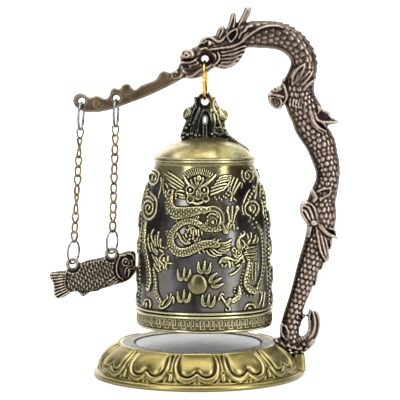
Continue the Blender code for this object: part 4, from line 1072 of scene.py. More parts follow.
for (ax, az), (bx, bz) in segs:
    ax, bx, az, bz = ax * unit, bx * unit, az * bh, bz * bh
    x, z = ph, (zr - zb0)
    L2 = (bx - ax) ** 2 + (bz - az) ** 2
    t = np.clip(((x - ax) * (bx - ax) + (z - az) * (bz - az)) / L2, 0, 1)
    d = np.maximum(np.abs(x - ax - t * (bx - ax)), np.abs(z - az - t * (bz - az)))
    key = np.maximum(key, 0.20 * smoothstep(lw, lw * 0.45, d))
band = isw & (zr > zb0 - 0.5) & (zr < zb1 + 0.5)
H = np.where(band, np.maximum(H, key), H)
# a plain raised lip below the key band
H = H + np.where(isw, 0.34 * smoothstep(zb0 - 0.55, zb0 - 0.95, zr), 0)
# mask of the dome and the angle of each column; the loop below adds nothing to the dome
dome = zr > 88.8
A = th[:, None]
for (sx, sy) in ((195.0, 140.0), (225.0, 148.0)):
    pass
rad = prof[:, 0][None, :] + H * nrm[:, 0][None, :]
hz = prof[:, 1][None, :] + H * nrm[:, 1][None, :]
Xo = BELL_X + rad * np.sin(A)
Yo = -rad * np.cos(A)
Zo = hz + np.zeros_like(Xo)
ins = np.array(inside)
Xi = BELL_X + ins[:, 0][None, :] * np.sin(A)
Yi = -ins[:, 0][None, :] * np.cos(A)
Zi = ins[:, 1][None, :] + np.zeros_like(Xi)
V = np.stack([np.concatenate([Xo, Xi], 1), np.concatenate([Yo, Yi], 1), np.concatenate([Zo, Zi], 1)], -1)
nv = V.shape[1]
F = grid_faces(NU, nv, True, True)
bell = mesh_obj("bell_relief", V.reshape(-1, 3) * MM, F)
val = cavity(bell, ((4, 0.5), (16, 0.5)))
Hfull = np.concatenate([H, np.zeros((NU, len(inside)))], 1).reshape(-1)
zf = np.concatenate([Zo, Zi], 1).reshape(-1)
cover = np.concatenate([(H > 0.06).astype(float), np.zeros((NU, len(inside)))], 1)
near = blur(cover, 7)
rel_on = np.clip(Hfull / 0.12, 0, 1)
wall_on = (zf > ZK[0] + 0.3) & (zf < 86.2)
dome_on = (zf > 89.3)
cv_rel = 0.14 + np.clip(Hfull, 0, 1.2) * 0.22 + (val - 0.5) * 1.35
cv_low = 0.40 + np.clip(Hfull / 0.2, 0, 1.0) * 0.20 + (val - 0.5) * 1.0
cv = np.where(zf < ZK[0] + 0.3, cv_low, np.where(zf > 86.2, 0.56 + (val - 0.5) * 0.9, rel_on * cv_rel + (1 - rel_on) * 0.10))
put_attr(bell, "cavity", np.clip(cv, 0, 1))
plain = (1 - rel_on) * (1 - smoothstep(0.06, 0.34, near.reshape(-1))) * wall_on
plain = np.maximum(plain, dome_on * 1.0)
put_attr(bell, "plain", plain)
put_attr(bell, "satin", dome_on * 1.0)
put_attr(bell, "brass", np.maximum(smoothstep(77.0, 82.5, zf), 0.0) * (1 - 0.0 * zf))
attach(bell, "bell")
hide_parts("bell_body")


def bell_metal():
    """Rubbed brass on the relief, polished dark metal on the open ground, with painted reflection streaks from noise
    stretched upright.
    """
    m = antique("antique_brass_bell", (0.016, 0.014, 0.014), (0.165, 0.148, 0.072), (0.640, 0.600, 0.345), rough=(0.34, 0.24),
                thresholds=(0.30, 0.52, 0.90), wobble=0.12, mottle=0.14, grain=3200.0, bumpd=0.00002)
    nt = m.node_tree
    b = nt.nodes["Principled BSDF"]
    src = b.inputs["Base Color"].links[0].from_socket
    rsrc = b.inputs["Roughness"].links[0].from_socket
    pl = nt.nodes.new("ShaderNodeAttribute")
    pl.attribute_name = "plain"
    br = nt.nodes.new("ShaderNodeAttribute")
    br.attribute_name = "brass"
    tc = nt.nodes.new("ShaderNodeTexCoord").outputs["Object"]
    # painted reflection: noise stretched upright paints bright and dark vertical streaks on the open ground and on the
    # plain shoulder band
    painted_streak_mapping = nt.nodes.new("ShaderNodeMapping")
    painted_streak_mapping.inputs["Scale"].default_value = (1.0, 1.0, 0.38)
    nt.links.new(tc, painted_streak_mapping.inputs["Vector"])
    n1 = noise(nt, 62.0, 2.5, 0.5, painted_streak_mapping.outputs[0], 0.4)
    n2 = noise(nt, 1500.0, 4.0, 0.6, tc)
    # painted reflection: the ground ramp turns the streak noise into black, grey-violet and olive streaks in place of
    # mirrored surroundings
    dark = ramp(nt, n1, [(0.36, (0.008, 0.007, 0.007)), (0.46, (0.050, 0.045, 0.044)), (0.55, (0.135, 0.128, 0.128)), (0.68, (0.150, 0.128, 0.062))])
    warm = ramp(nt, n1, [(0.36, (0.022, 0.018, 0.012)), (0.48, (0.130, 0.110, 0.045)), (0.64, (0.300, 0.272, 0.140))])
    sat = nt.nodes.new("ShaderNodeAttribute")
    sat.attribute_name = "satin"
    n3 = noise(nt, 150.0, 4.0, 0.6, tc, 0.6)
    dome_c = ramp(nt, n3, [(0.34, (0.200, 0.165, 0.060)), (0.50, (0.385, 0.335, 0.150)), (0.66, (0.560, 0.520, 0.330))])
    warm = mix(nt, sat.outputs["Fac"], warm, dome_c)
    col = mix(nt, br.outputs["Fac"], dark, warm)
    nt.links.new(mix(nt, pl.outputs["Fac"], src, col), b.inputs["Base Color"])
    rp = math_node(nt, "ADD", math_node(nt, "MULTIPLY", n2, 0.10), math_node(nt, "ADD", math_node(nt, "MULTIPLY", sat.outputs["Fac"], 0.18), 0.15), clamp=True)
    mr = nt.nodes.new("ShaderNodeMix")
    nt.links.new(pl.outputs["Fac"], mr.inputs[0])
    nt.links.new(rsrc, mr.inputs[2])
    nt.links.new(rp, mr.inputs[3])
    nt.links.new(mr.outputs[0], b.inputs["Roughness"])
    return m


M_BELL = bell_metal()
paint(bell, M_BELL)


# ------------------------------------------------------------------ dragon arm
ar = Relief(-54.0, 62.0, 7.5, 151.0, 0.30)


def S(pts, base=0.0, k=0.8, **kw):
    ar.stroke(sh(pts), k=k, base=base, **kw)


def RL(pts, h, r=None):
    ar.raise_line(sh(pts), None if r is None else r / SHEET, h)


def GR(pts, d, r=None):
    ar.groove(sh(pts), None if r is None else r / SHEET, d)


def BL(c, rx, rz, h, base=0.0, rot=0.0, **kw):
    ar.blob(sh(np.array(c, float)), rx / SHEET, rz / SHEET, h, rot=rot, base=base, **kw)


SPINE = [(236, 40, 10.0), (246.5, 35.5, 12.3), (262.5, 35.0, 13.2), (279.5, 36.8, 13.2), (291.5, 43.2, 12.6), (300, 53, 12.4),
         (303, 63.5, 12.8), (301.8, 73, 13.8), (298.5, 83, 14.6), (298.5, 95.5, 15.2), (301.8, 105.5, 16.0), (305.8, 113.5, 16.2),
         (309, 125, 15.2), (313.5, 133, 14.6), (319.7, 142.5, 14.6), (324.6, 158, 13.0), (327.2, 169, 12.0), (327.0, 180, 11.4),
         (324.0, 192, 12.8), (321.0, 202, 14.0), (320.5, 213.5, 15.6), (320.5, 226, 13.6), (316.5, 243, 12.4), (312.0, 257, 12.0),
         (306.8, 272, 10.8), (302.0, 288, 9.8), (297.0, 302, 8.8), (292.8, 316, 9.0), (290.2, 330, 9.4), (291.0, 340, 9.8),
         (294.5, 348, 8.6), (298.0, 353, 6.0)]
P_ = spline(sh(SPINE), 0.5)
seg = np.concatenate([[0], np.cumsum(np.linalg.norm(np.diff(P_[:, :2], axis=0), axis=1))])


def along(px, py):
    c = sh(np.array([px, py], float))
    return float(seg[np.argmin(((P_[:, :2] - c) ** 2).sum(1))])


s_neck = along(303, 66)
s_mid = along(322, 150)
neck = fade(both(scales(2.55, 2.25, 0.62, lo=-0.70), ribs(1.15, 0.42, hi=-0.74), line_at(-0.72, 0.35, 0.3)), -9, s_neck)
mid = fade(both(beads(2.25, 2.15, 0.60, lo=-0.80), ribs(1.3, 0.30, hi=-0.84), line_at(-0.82, 0.35, 0.3)), s_neck, s_mid)
low = fade(both(beads(2.15, 2.05, 0.60, lo=-0.74, seed=11), ribs(1.9, 0.42, hi=-0.78), line_at(-0.76, 0.35, 0.35)), s_mid, 900)
S(SPINE, k=0.80, base=0.15, tex=both(neck, mid, low))

# dorsal crest: small overlapping points along the outer edge
Pn = P_[:, :2]
tn = np.gradient(Pn, axis=0)
tn /= np.linalg.norm(tn, axis=1)[:, None]
outn = np.column_stack([-tn[:, 1], tn[:, 0]])          # left of travel: the outer side
for s in np.arange(2.0, along(309, 262), 2.05):
    i = int(np.searchsorted(seg, s))
    i = min(i, len(Pn) - 1)
    r = P_[i, 2]
    c = Pn[i] + outn[i] * (r - 0.75)
    h = 1.15 if s < s_neck else 0.75
    tip = c + outn[i] * h * 1.0 + tn[i] * 1.15
    ar.stroke([(c[0] - tn[i][0] * 0.7, c[1] - tn[i][1] * 0.7, 0.85), (tip[0], tip[1], 0.32)], k=0.5, base=0.55, curve=False)

# shoulder flames and upper leaf
S([(291, 84, 1.2), (291.5, 76, 1.6), (296, 69, 1.6), (303.4, 64, 0.9)], base=5.2, k=0.5)
S([(303.4, 64, 0.9), (301, 72, 1.5), (296.5, 79, 1.6), (291, 84, 1.2)], base=5.2, k=0.5)
S([(294.5, 80, 1.0), (297, 73, 1.2)], base=5.0, k=0.5)
for a, b_, c in (((309, 70.5), (303, 76), (296, 83)), ((311.5, 71), (306, 79), (299, 86)), ((313, 79), (307, 84), (301, 90))):
    S([(*a, 0.6), (*b_, 1.5), (*c, 1.3)], base=5.0, k=0.6)
for i in range(6):
    x = 288.5 + 2.9 * i
    S([(x + 1.0, 98.0 + 0.8 * i, 1.0), (x, 101.5 + 0.9 * i, 1.1), (x + 0.6, 105.0 + 0.9 * i, 0.7)], base=5.75, k=0.7)

# clenched front paw
ar.polygon(sh([(281.5, 79.8), (281.5, 83.5), (272.8, 88.3), (267.2, 92.8), (266.8, 96), (269.2, 104.6), (276.6, 109.2), (280.4, 108.6),
               (283.5, 103), (288, 98), (288, 84)]), 3.4, edge=1.6)
BL((283.4, 79.6), 2.2, 2.2, 1.0, base=3.2)
S([(283, 84.4, 1.3), (284.6, 90, 1.5), (285.8, 97.2, 1.5), (283.2, 102.5, 1.3)], base=4.0, k=0.6)
BL((269.6, 93.6), 2.0, 2.0, 1.0, base=3.9)
for e in ((272.5, 88.9), (276.2, 87.0), (279.4, 85.6), (282.3, 86.2)):
    S([(269.6, 93.4, 0.7), ((269.6 + e[0]) / 2 + 1.4, (93.4 + e[1]) / 2 + 0.2, 1.05), (*e, 0.7)], base=3.7, k=0.6)
S([(270.2, 94.0, 0.9), (276, 94.8, 1.2), (282.6, 96.6, 1.0)], base=3.9, k=0.6)
for pts in ([(269.4, 96.6), (270.4, 103.4), (276.6, 108), (280.6, 103.6), (279.0, 98.0), (273.5, 96.8)],):
    RL([(*p, 0.85) for p in pts + [pts[0]]], 0.95)
for x0, x1 in ((271.5, 272.8), (274.0, 275.4), (276.6, 277.8)):
    RL([(x0, 98.6, 0.6), (x1, 105.2, 0.6)], 0.5)
GR([(270.5, 96.0), (276, 96.6), (282, 98.4)], 0.8, 0.5)

# rear claw at the elbow
ar.polygon(sh([(314.5, 104), (320.5, 108.8), (328, 110.2), (329.8, 112.6), (329.4, 116.2), (338.4, 120.6), (338.2, 122.6), (326.6, 124.4),
               (326.6, 127.6), (325, 131), (318, 128), (310, 118)]), 2.6, edge=1.2)
S([(316.2, 106, 1.0), (318.2, 108.8, 2.0), (316.8, 112, 0.8)], base=5.2, k=0.8)
S([(309.7, 110, 1.1), (313, 116.5, 1.5), (320, 120.6, 1.4), (330, 121.4, 1.3), (338, 121.6, 0.8)], base=5.5, k=0.7)
S([(308.6, 110.5, 1.0), (311, 118.5, 1.6), (316.5, 125.5, 1.6), (324.6, 130.4, 0.9)], base=5.8, k=0.75)
S([(303.2, 112.0, 0.8), (308.0, 118.5, 1.0), (314.0, 126.6, 1.0), (322.0, 132.4, 0.7)], base=5.7, k=0.7)
S([(313.4, 112.0, 0.7), (317.0, 118.6, 1.0), (322.6, 123.6, 1.0), (326.4, 127.4, 0.7)], base=5.5, k=0.7)
S([(320.6, 110.2, 0.8), (326.5, 111.6, 1.2), (328.6, 115, 1.1), (331.0, 118.6, 0.7)], base=2.6, k=0.7)

# hind foot that clasps the body
S([(312, 189.6, 2.0), (314.6, 196, 2.6), (312.6, 200, 1.6)], base=4.8, k=0.7)
S([(316.2, 190.5, 0.8), (322, 187.6, 1.0), (330.2, 186.4, 0.8)], base=5.0, k=0.7)
S([(330.2, 186.4, 0.8), (328.2, 192.5, 1.1), (320.4, 197.4, 1.1), (320.2, 200, 0.6)], base=5.0, k=0.7)
for pts in ([(316.0, 221.4, 1.9), (316.0, 213.6, 1.2), (313.0, 206.2, 1.2), (309.8, 202.4, 1.2), (304.8, 201.6, 1.2), (301.6, 204.6, 1.3),
             (300.9, 209.5, 1.3), (303.2, 216.0, 1.3), (308.2, 222.6, 1.6)],
            [(303.6, 204.4, 1.1), (307.4, 205.6, 1.2), (310.4, 211.4, 1.2), (313.0, 219.4, 1.5)],
            [(303.2, 208.4, 1.1), (306.0, 212.2, 1.2), (308.4, 216.8, 1.2), (311.4, 221.8, 1.4)]):
    S(pts, base=5.3, k=0.75)
ar.polygon(sh([(304.5, 202), (310, 202.6), (315.5, 212), (316.6, 221), (309, 223.4), (303, 215.6), (301.2, 207)]), 5.0, edge=1.0)
BL((312.8, 221.4), 3.6, 3.0, 1.0, base=5.6)
S([(310.4, 223, 2.2), (309.4, 229, 1.7), (308.6, 235.6, 0.8)], base=4.8, k=0.7)
S([(315.5, 219.5, 2.0), (321, 226.5, 2.2), (327, 232.2, 2.2), (331.5, 234.0, 1.8), (338, 238.2, 0.7)], base=5.0, k=0.6)
S([(328.2, 226.8, 0.8), (333.6, 228.6, 1.2), (335.2, 233.2, 1.0)], base=4.4, k=0.7)
ar.polygon(sh([(314.6, 225), (319.5, 227.6), (323, 233), (327.2, 243), (328.4, 251), (328.8, 259.6), (324.6, 260.6), (319, 251), (316, 238)]), 4.6, edge=0.9, curve=True)
S([(315.4, 225.6, 1.0), (317.8, 239, 1.4), (320.4, 250.6, 1.4), (325.6, 260, 0.9)], base=5.0, k=0.7)
S([(318.6, 228, 0.8), (321.6, 239, 0.9), (324.4, 250, 0.9), (326.6, 258, 0.6)], base=4.9, k=0.7)
S([(320.6, 229, 0.9), (325.6, 240, 1.1), (327.6, 250, 1.0), (328.6, 258.4, 0.7)], base=4.4, k=0.7)
S([(328.4, 236, 1.3), (331.0, 242, 1.8), (330.0, 248.0, 0.8)], base=2.2, k=0.7)
S([(323.6, 262, 1.2), (321.4, 268.6, 0.8)], base=1.8, k=0.7)
S([(316.6, 276, 1.4), (315.4, 284.6, 0.9)], base=1.6, k=0.7)

# foot of the body: toe, leaf, fin and the forked tail
BL((276.6, 341.4), 4.0, 3.8, 1.2, base=1.9)
BL((275.9, 340.4), 1.8, 1.6, 0.6, base=3.0)
S([(279.6, 343, 2.2), (284, 346.4, 2.8), (290, 349.6, 3.0)], base=1.8, k=0.7)
for pts in ([(282.2, 323.4, 0.9), (281.2, 330, 1.0), (284.0, 337.4, 1.0), (287.6, 339.4, 0.8)], [(282.2, 323.4, 0.9), (285.6, 326, 1.0), (288.4, 332.4, 1.0), (287.6, 339.4, 0.8)]):
    S(pts, base=3.6, k=0.7)
ar.polygon(sh([(300.5, 309), (303.4, 313.4), (306.6, 316.0), (303.4, 319.4), (301.8, 321.6), (301.6, 325), (298.0, 329.6), (294, 324)]), 0.9, edge=0.6)
for a, b_ in (((299, 312), (304.5, 316)), ((297.5, 316.5), (302.4, 320)), ((297, 321), (300.8, 324.4))):
    RL([(*a, 0.7), (*b_, 0.7)], 0.55)
S([(303, 315.6, 0.65), (308.6, 315.4, 0.65)], base=0.5, k=0.5)
S([(296, 345.6, 5.0), (302, 344.6, 5.2), (308, 341.4, 5.2), (312.6, 335.4, 4.8), (315.2, 327, 4.3), (315.4, 319, 4.0), (314.6, 314, 2.6)], base=2.0, k=0.5)
S([(300, 349, 1.3), (308, 346.4, 1.4), (315.4, 338.6, 1.4), (318.8, 330, 1.3), (319.4, 320, 1.2), (317.2, 311.8, 0.8)], base=2.6, k=0.75)
S([(302, 343.6, 1.2), (309.6, 338, 1.3), (314.2, 330, 1.2), (315.0, 320, 1.1), (312.8, 311.6, 0.9)], base=2.9, k=0.75)
S([(302, 339.6, 1.1), (307.8, 335, 1.2), (310.0, 328, 1.2), (309.6, 317, 1.2), (310.4, 308.8, 1.0)], base=2.3, k=0.75)
for i in range(4):
    t = i / 3.0
    x, y = 298.5 + 7.6 * t, 341.0 - 1.2 * t
    S([(x - 1.6, y - 2.8, 0.8), (x + 0.8, y + 1.6, 1.2), (x - 0.6, y + 6.4, 0.8)], base=2.9, k=0.8)
for i in range(7):
    x, y = 281.5 + 2.7 * i, 343.6 + 0.75 * i
    BL((x, y), 1.7, 1.4, 0.6, base=3.4 + 0.15 * i)

ar.polygon(sh([(274.6, 338.8), (273.6, 342.6), (276.4, 346.4), (283, 349.6), (289, 353.0), (296, 354.4), (302.6, 353.6), (309, 350.2), (315, 343.6), (317, 336),
               (310, 336), (300, 342), (286, 338)]), 3.6, edge=2.0)
for x, y, r in ((277.4, 345.0, 2.0), (281.6, 342.4, 2.0), (283.2, 347.0, 2.3), (288.0, 344.6, 2.1), (289.4, 349.8, 2.5), (294.2, 346.6, 2.2),
                (296.0, 351.6, 2.4), (300.6, 347.6, 2.2), (302.0, 352.0, 2.1), (306.4, 348.6, 2.2), (303.6, 343.6, 1.8)):
    BL((x, y), r, r * 0.88, 0.9, base=3.9)

# beam
ar.polygon(sh([(73.5, 100), (75.5, 94.6), (80.2, 92.3), (85, 93.7), (88.9, 97.2), (92.3, 96.9), (96.8, 94.9), (100.8, 96.1),
               (104.8, 98.4), (108.6, 97.6), (110.3, 94.4), (111.3, 89.8), (114.6, 87.0), (118.0, 88.9), (120.6, 89.0), (122.6, 85),
               (126.9, 82.8), (130.1, 84.1), (131.8, 87.3), (134.8, 89.9), (138.2, 87.6), (141.4, 85.0), (150, 81.8), (155.4, 79.8),
               (157.9, 77), (160.2, 72.4), (164.1, 70.4), (168.6, 72.2), (172, 72.2), (177.5, 69.1), (182, 64), (196, 62), (196, 78),
               (184.6, 77.2), (176.7, 81.9), (160.9, 89.8), (145.1, 96.9), (121.4, 105.6), (110.3, 109.5), (99.2, 111.6), (85.8, 111.3),
               (80.2, 109.4), (75.5, 105.6)]), 1.62, edge=0.7)
RL([(184, 76.0, 0.7), (176.4, 80.5, 0.7), (160.6, 88.4, 0.7), (144.8, 95.5, 0.7), (121.2, 104.2, 0.7), (110.2, 108.2, 0.7),
    (99.2, 110.3, 0.7), (86, 110.0, 0.7), (79, 107.4, 0.7)], 0.20)
RL([(89.6, 98.4, 0.7), (92.8, 98.0, 0.7), (96.8, 96.1, 0.7), (100.4, 97.1, 0.7), (104.8, 99.6, 0.7), (109.2, 98.7, 0.7), (111.5, 95, 0.7),
    (112.5, 90.4, 0.7), (114.8, 88.3, 0.7), (117.4, 90.0, 0.7)], 0.20)
RL([(121.4, 90.2, 0.7), (123.7, 86.0, 0.7), (126.9, 84.1, 0.7), (129.3, 85.1, 0.7), (130.8, 88.2, 0.7), (134.8, 91.3, 0.7), (139, 88.6, 0.7), (150, 83.2, 0.7), (156.4, 80.6, 0.7)], 0.20)
RL([(156.6, 80.6, 0.7), (159.1, 77.3, 0.7), (161.2, 73.3, 0.7), (164.1, 71.8, 0.7), (167.6, 73.4, 0.7)], 0.20)
RL([(81.8 + 7.4 * math.cos(t), 100.8 + 7.4 * math.sin(t), 0.8) for t in np.linspace(0.9, 2 * math.pi - 0.5, 26)], 0.30)
RL([(99.2 + 4.2 * math.cos(t), 103.4 + 4.2 * math.sin(t), 0.72) for t in np.linspace(0, 2 * math.pi, 22)], 0.30)
BL((99.2, 103.4), 3.6, 3.6, 0.20, base=1.66)
BL((100.4, 101.9), 0.8, 0.8, 0.25, base=1.9)
BL((126.6, 90.0), 5.4, 6.0, 0.16, base=1.64)
BL((115.6, 93.6), 3.6, 4.6, 0.14, base=1.64)
RL([(175.2 + 3.4 * math.cos(t), 74.8 + 3.4 * math.sin(t), 0.9) for t in np.linspace(0.5, 5.6, 20)], 0.7)
BL((175.2, 74.8), 1.2, 1.2, 0.3, base=1.7)
GR([(169.5, 73.5), (168.4, 80)], 0.5, 0.8)

# head: muzzle, jaws, cheek
ar.polygon(sh([(178.6, 66), (182.3, 60), (181.4, 53.2), (184, 49.9), (189.3, 49.1), (195.3, 50), (198.8, 48.0), (199.4, 42.2),
               (203.4, 37.6), (209.4, 35.6), (215, 36.4), (221.6, 27.6), (227, 30), (240, 30), (247, 36), (246, 46), (244.2, 50),
               (239, 58.6), (231.5, 65.8), (223.6, 67.4), (215, 66.4), (206.6, 72.8), (200.6, 76.7), (193, 78.8), (184.5, 77.6), (178, 79.4)]),
           3.1, edge=2.2)
S([(186, 58, 6.0), (196, 53.5, 6.4), (206, 50, 7.6), (218, 48, 9.6), (230, 47, 11)], base=0.6, k=0.95)
BL((188.3, 54.2), 7.0, 5.4, 1.5, base=3.3)
RL([(186.6 + 2.9 * math.cos(t) * (1 - 0.06 * t), 55.2 + 2.7 * math.sin(t) * (1 - 0.06 * t), 0.9) for t in np.linspace(0, 7.4, 30)], 0.7)
GR([(181.5, 60.2), (190, 60.4), (198.5, 55.8)], 1.0, 0.9)
S([(182.4, 62.4, 1.4), (191, 61.8, 1.5), (200.0, 57.4, 1.3)], base=3.6, k=0.6)
GR([(184, 66.2), (192, 66.6), (200.5, 63.4)], 0.9, 1.3)
for i in range(6):
    t = i / 5.0
    x, y = 189.6 + 10.0 * t, 65.2 - 2.4 * t
    S([(x, y, 0.95), (x + 1.0, y + 3.3, 0.35)], base=3.2, k=0.9)
S([(186.5, 76.6, 1.6), (193, 74.8, 1.6), (200.4, 69.8, 1.4), (207.6, 66.6, 1.3), (214.6, 61.6, 1.0)], base=3.3, k=0.7)
S([(184.5, 71, 1.6), (188, 73.2, 1.5), (193.5, 71.8, 0.9)], base=3.1, k=0.6)
# brow and eye
for pts in ([(200.2, 44.0, 1.3), (202.8, 39.8, 1.6), (208.4, 37.6, 1.7), (213.6, 39.4, 1.6), (217.8, 41.8, 1.4), (222.6, 39.6, 1.3), (226.6, 34, 1.0)],
            [(203.2, 43.6, 1.1), (206.6, 41.0, 1.2), (211.4, 42.2, 1.1), (214.4, 45.2, 0.9)],
            [(199.8, 49.8, 1.0), (206, 47.6, 1.2), (216, 45.8, 1.2), (226, 43.4, 1.1)]):
    S(pts, base=4.0, k=0.8)
BL((209.4, 44.2), 2.5, 2.0, 1.0, base=4.2)
GR([(203.6, 45.4), (208, 47.0), (214, 45.0), (220, 44.4)], 0.8, 0.6)
# tuft, horns, ear and curls
S([(217.6, 39, 2.8), (219.6, 32, 2.9), (222.0, 27.6, 2.2)], base=1.7, k=0.7)
RL([(216.2, 38, 0.7), (219.4, 30.6, 0.7), (222.4, 27, 0.5)], 0.5)
RL([(218.8, 39, 0.7), (221.6, 32.4, 0.7), (223.2, 28, 0.5)], 0.5)
S([(229, 43, 4.6), (230.4, 32, 4.3), (232.2, 22, 3.6), (233.2, 14.6, 2.2)], base=1.5, k=0.6)
RL([(226.4, 33, 0.8), (230.2, 22, 0.8), (232.9, 13.8, 0.6)], 0.8)
RL([(231.4, 33, 0.7), (234.2, 23, 0.7), (235.0, 16, 0.5)], 0.5)
S([(235, 36, 3.3), (239.6, 26.0, 3.3), (244.6, 16.4, 3.4), (247.6, 10.0, 3.4)], base=1.0, k=0.75)
RL([(236.6, 29.6, 0.8), (243.4, 15.4, 0.8), (247.2, 8.6, 0.8)], 0.6)
for pts in ([(229.8, 42.2, 0.9), (227.0, 36.0, 1.1), (231.4, 31.6, 1.0), (236.7, 29.2, 0.7)], [(236.7, 29.2, 0.7), (236.0, 35.4, 1.1), (232.6, 40.4, 1.0), (229.8, 42.2, 0.9)],
            [(238.4, 38.6, 0.8), (240.4, 34.0, 1.1), (244.0, 31.4, 0.8)], [(241.0, 41.0, 0.8), (243.4, 36.6, 1.1), (247.6, 32.8, 0.7)],
            [(244.2, 31.0, 1.5), (247.0, 27.6, 1.6), (251.6, 26.6, 1.2)]):
    S(pts, base=4.9, k=0.8)
# cheek shell and the fan of the beard
ar.polygon(sh([(207.6, 52), (213, 51.4), (218.6, 51.9), (220.6, 57.2), (218.2, 62), (214.4, 65.0), (208, 64)]), 4.6, edge=2.4)
S([(217.4, 52.2, 1.0), (219.4, 57, 1.5), (217.2, 62, 1.4), (213.0, 65.0, 0.9)], base=4.7, k=0.8)
for pts in ([(221.8, 52.4), (233, 49.6), (244.6, 45.6)], [(221.8, 55.8), (233, 53.8), (244.0, 49.4)], [(221.4, 59.2), (232, 57.8), (241.8, 53.8)],
            [(220.6, 62.4), (230, 61.8), (238.8, 58.2)], [(218.4, 65.0), (227, 65.6), (235.0, 62.4)]):
    S([(*pts[0], 1.2), (*pts[1], 1.7), (*pts[2], 0.9)], base=4.2, k=0.9)
S([(214.0, 66.0, 0.9), (223.5, 67.6, 1.2), (231.6, 65.6, 1.1), (238.8, 59.6, 1.0), (244.4, 51.4, 0.7)], base=2.9, k=0.9)
# long whisker swept back over the neck
S([(206.5, 50.2, 1.0), (213, 49.4, 1.3), (220.1, 48.4, 1.35), (230.7, 46.8, 1.4), (239.7, 42.9, 1.4), (245.7, 37.6, 1.4), (253.3, 32.3, 1.4),
   (260.8, 28.3, 1.3), (268.3, 26.5, 1.2), (276.0, 26.4, 1.0), (282, 28.2, 0.6)], base=5.3, k=0.9)

# clearances that the joints need, then the bores
ar.limit(sh(np.array([204.9, 58.8])), 1.6, 1.35, 1.15)
ar.hole(sh(np.array([204.9, 58.8])), 1.45, 0.3)
ar.limit((-47.0, 111.1), 1.6, 1.35, 0.8)
ar.limit((-33.0, 112.3), 1.6, 1.35, 0.8)
ar.hole((-47.0, 111.1), 1.42, 0.3)
ar.hole((-33.0, 112.3), 1.42, 0.3)
# follow the slope of the base, keep a small gap, and leave the tenon
SL = np.interp(ar.X, [0, 31.35, 32.45, 35.6, 38.4, 40.6, 42.0, 42.6], [13.2, 13.15, 12.7, 10.8, 8.2, 5.4, 3.0, -4])
low = (ar.Z < SL + 0.05) | ((ar.X > 30) & (ar.Z < 8.75))
ar.T = np.where(low & (ar.Z < 14.5), np.minimum(ar.T, np.maximum(ar.Z - np.maximum(SL, np.where(ar.X > 30, 8.7, -9)) - 0.05, -3)), ar.T)
Va, Fa = solid_from(ar, 0.30, soften=1)
arm = mesh_obj("dragon_arm_relief", Va, Fa)
keep_big(arm, 400)
relax(arm, 1, 0.35)
cavity(arm, ((4, 0.5), (14, 0.5)), 1.0)
tx = coords(arm.data)
beam_mask = smoothstep(-0.004, -0.014, tx[:, 0])
put_attr(arm, "zone", beam_mask)
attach(arm, "stand")
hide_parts("dragon_arm")
print("arm faces", len(arm.data.polygons))


def bronze():
    m = antique("antique_bronze_arm", (0.018, 0.013, 0.013), (0.122, 0.086, 0.070), (0.48, 0.39, 0.31), rough=(0.50, 0.30),
                thresholds=(0.36, 0.60, 0.94), wobble=0.20, mottle=0.18, grain=3000.0, bumpd=0.00004)
    nt = m.node_tree
    b = nt.nodes["Principled BSDF"]
    src = b.inputs["Base Color"].links[0].from_socket
    z = nt.nodes.new("ShaderNodeAttribute")
    z.attribute_name = "zone"
    tc = nt.nodes.new("ShaderNodeTexCoord").outputs["Object"]
    nb = noise(nt, 180.0, 5.0, 0.6, tc)
    col = ramp(nt, nb, [(0.32, (0.095, 0.072, 0.047)), (0.52, (0.170, 0.126, 0.080)), (0.72, (0.225, 0.180, 0.118))])
    at = nt.nodes.new("ShaderNodeAttribute")
    at.attribute_name = "cavity"
    edge = ramp(nt, at.outputs["Fac"], [(0.26, g(0.55)), (0.5, g(0.85)), (0.90, g(1.35))])
    col = mix(nt, 1.0, col, edge, "MULTIPLY")
    nt.links.new(mix(nt, z.outputs["Fac"], src, col), b.inputs["Base Color"])
    return m


M_ARM = bronze()
paint(arm, M_ARM)


# ------------------------------------------------------------------ fish striker
fi = Relief(-62.5, -24.0, 28.5, 54.0, 0.20)


def FS(pts, base=0.0, k=0.8, **kw):
    fi.stroke(sh(pts), k=k, base=base, step=0.3, **kw)


def FR(pts, h, r=None):
    fi.raise_line(sh(pts), None if r is None else r / SHEET, h, step=0.3)


FISH = [(49.3, 274.4), (50.9, 272.0), (57.5, 271.0), (65.3, 270.2), (73, 266.6), (80.3, 262.9), (87.8, 259.8), (96, 258.2), (104, 256.6), (112, 255.2),
        (119, 253.6), (123.6, 252.0), (127.1, 250.8), (130.9, 250.0), (134.2, 251.6), (135.7, 254.4), (135.3, 262.3), (135.1, 271), (132.4, 275.6),
        (128.4, 279.6), (124, 281.8), (119, 283.2), (109, 286.4), (100.3, 289.1), (98.4, 290.5), (90.3, 291.6), (77.1, 291.6), (72.1, 291.6),
        (67.4, 294.6), (62.8, 297.2), (59.4, 298.4), (56.5, 298.7), (54.2, 296.6), (53.4, 291.5), (53.4, 286), (52.2, 281.6), (50.1, 278.2)]
fin = lapped(1.08, 2.45, 0.72)
FS([(122.3, 266.0, 13.2), (116, 268.3, 14.6), (104, 272.4, 15.4), (90, 275.4, 15.2), (78, 278.4, 13.6), (66.5, 281.8, 12.0)],
   base=0.70, k=0.34, tex=fade(fin, 2.6, 23.4))
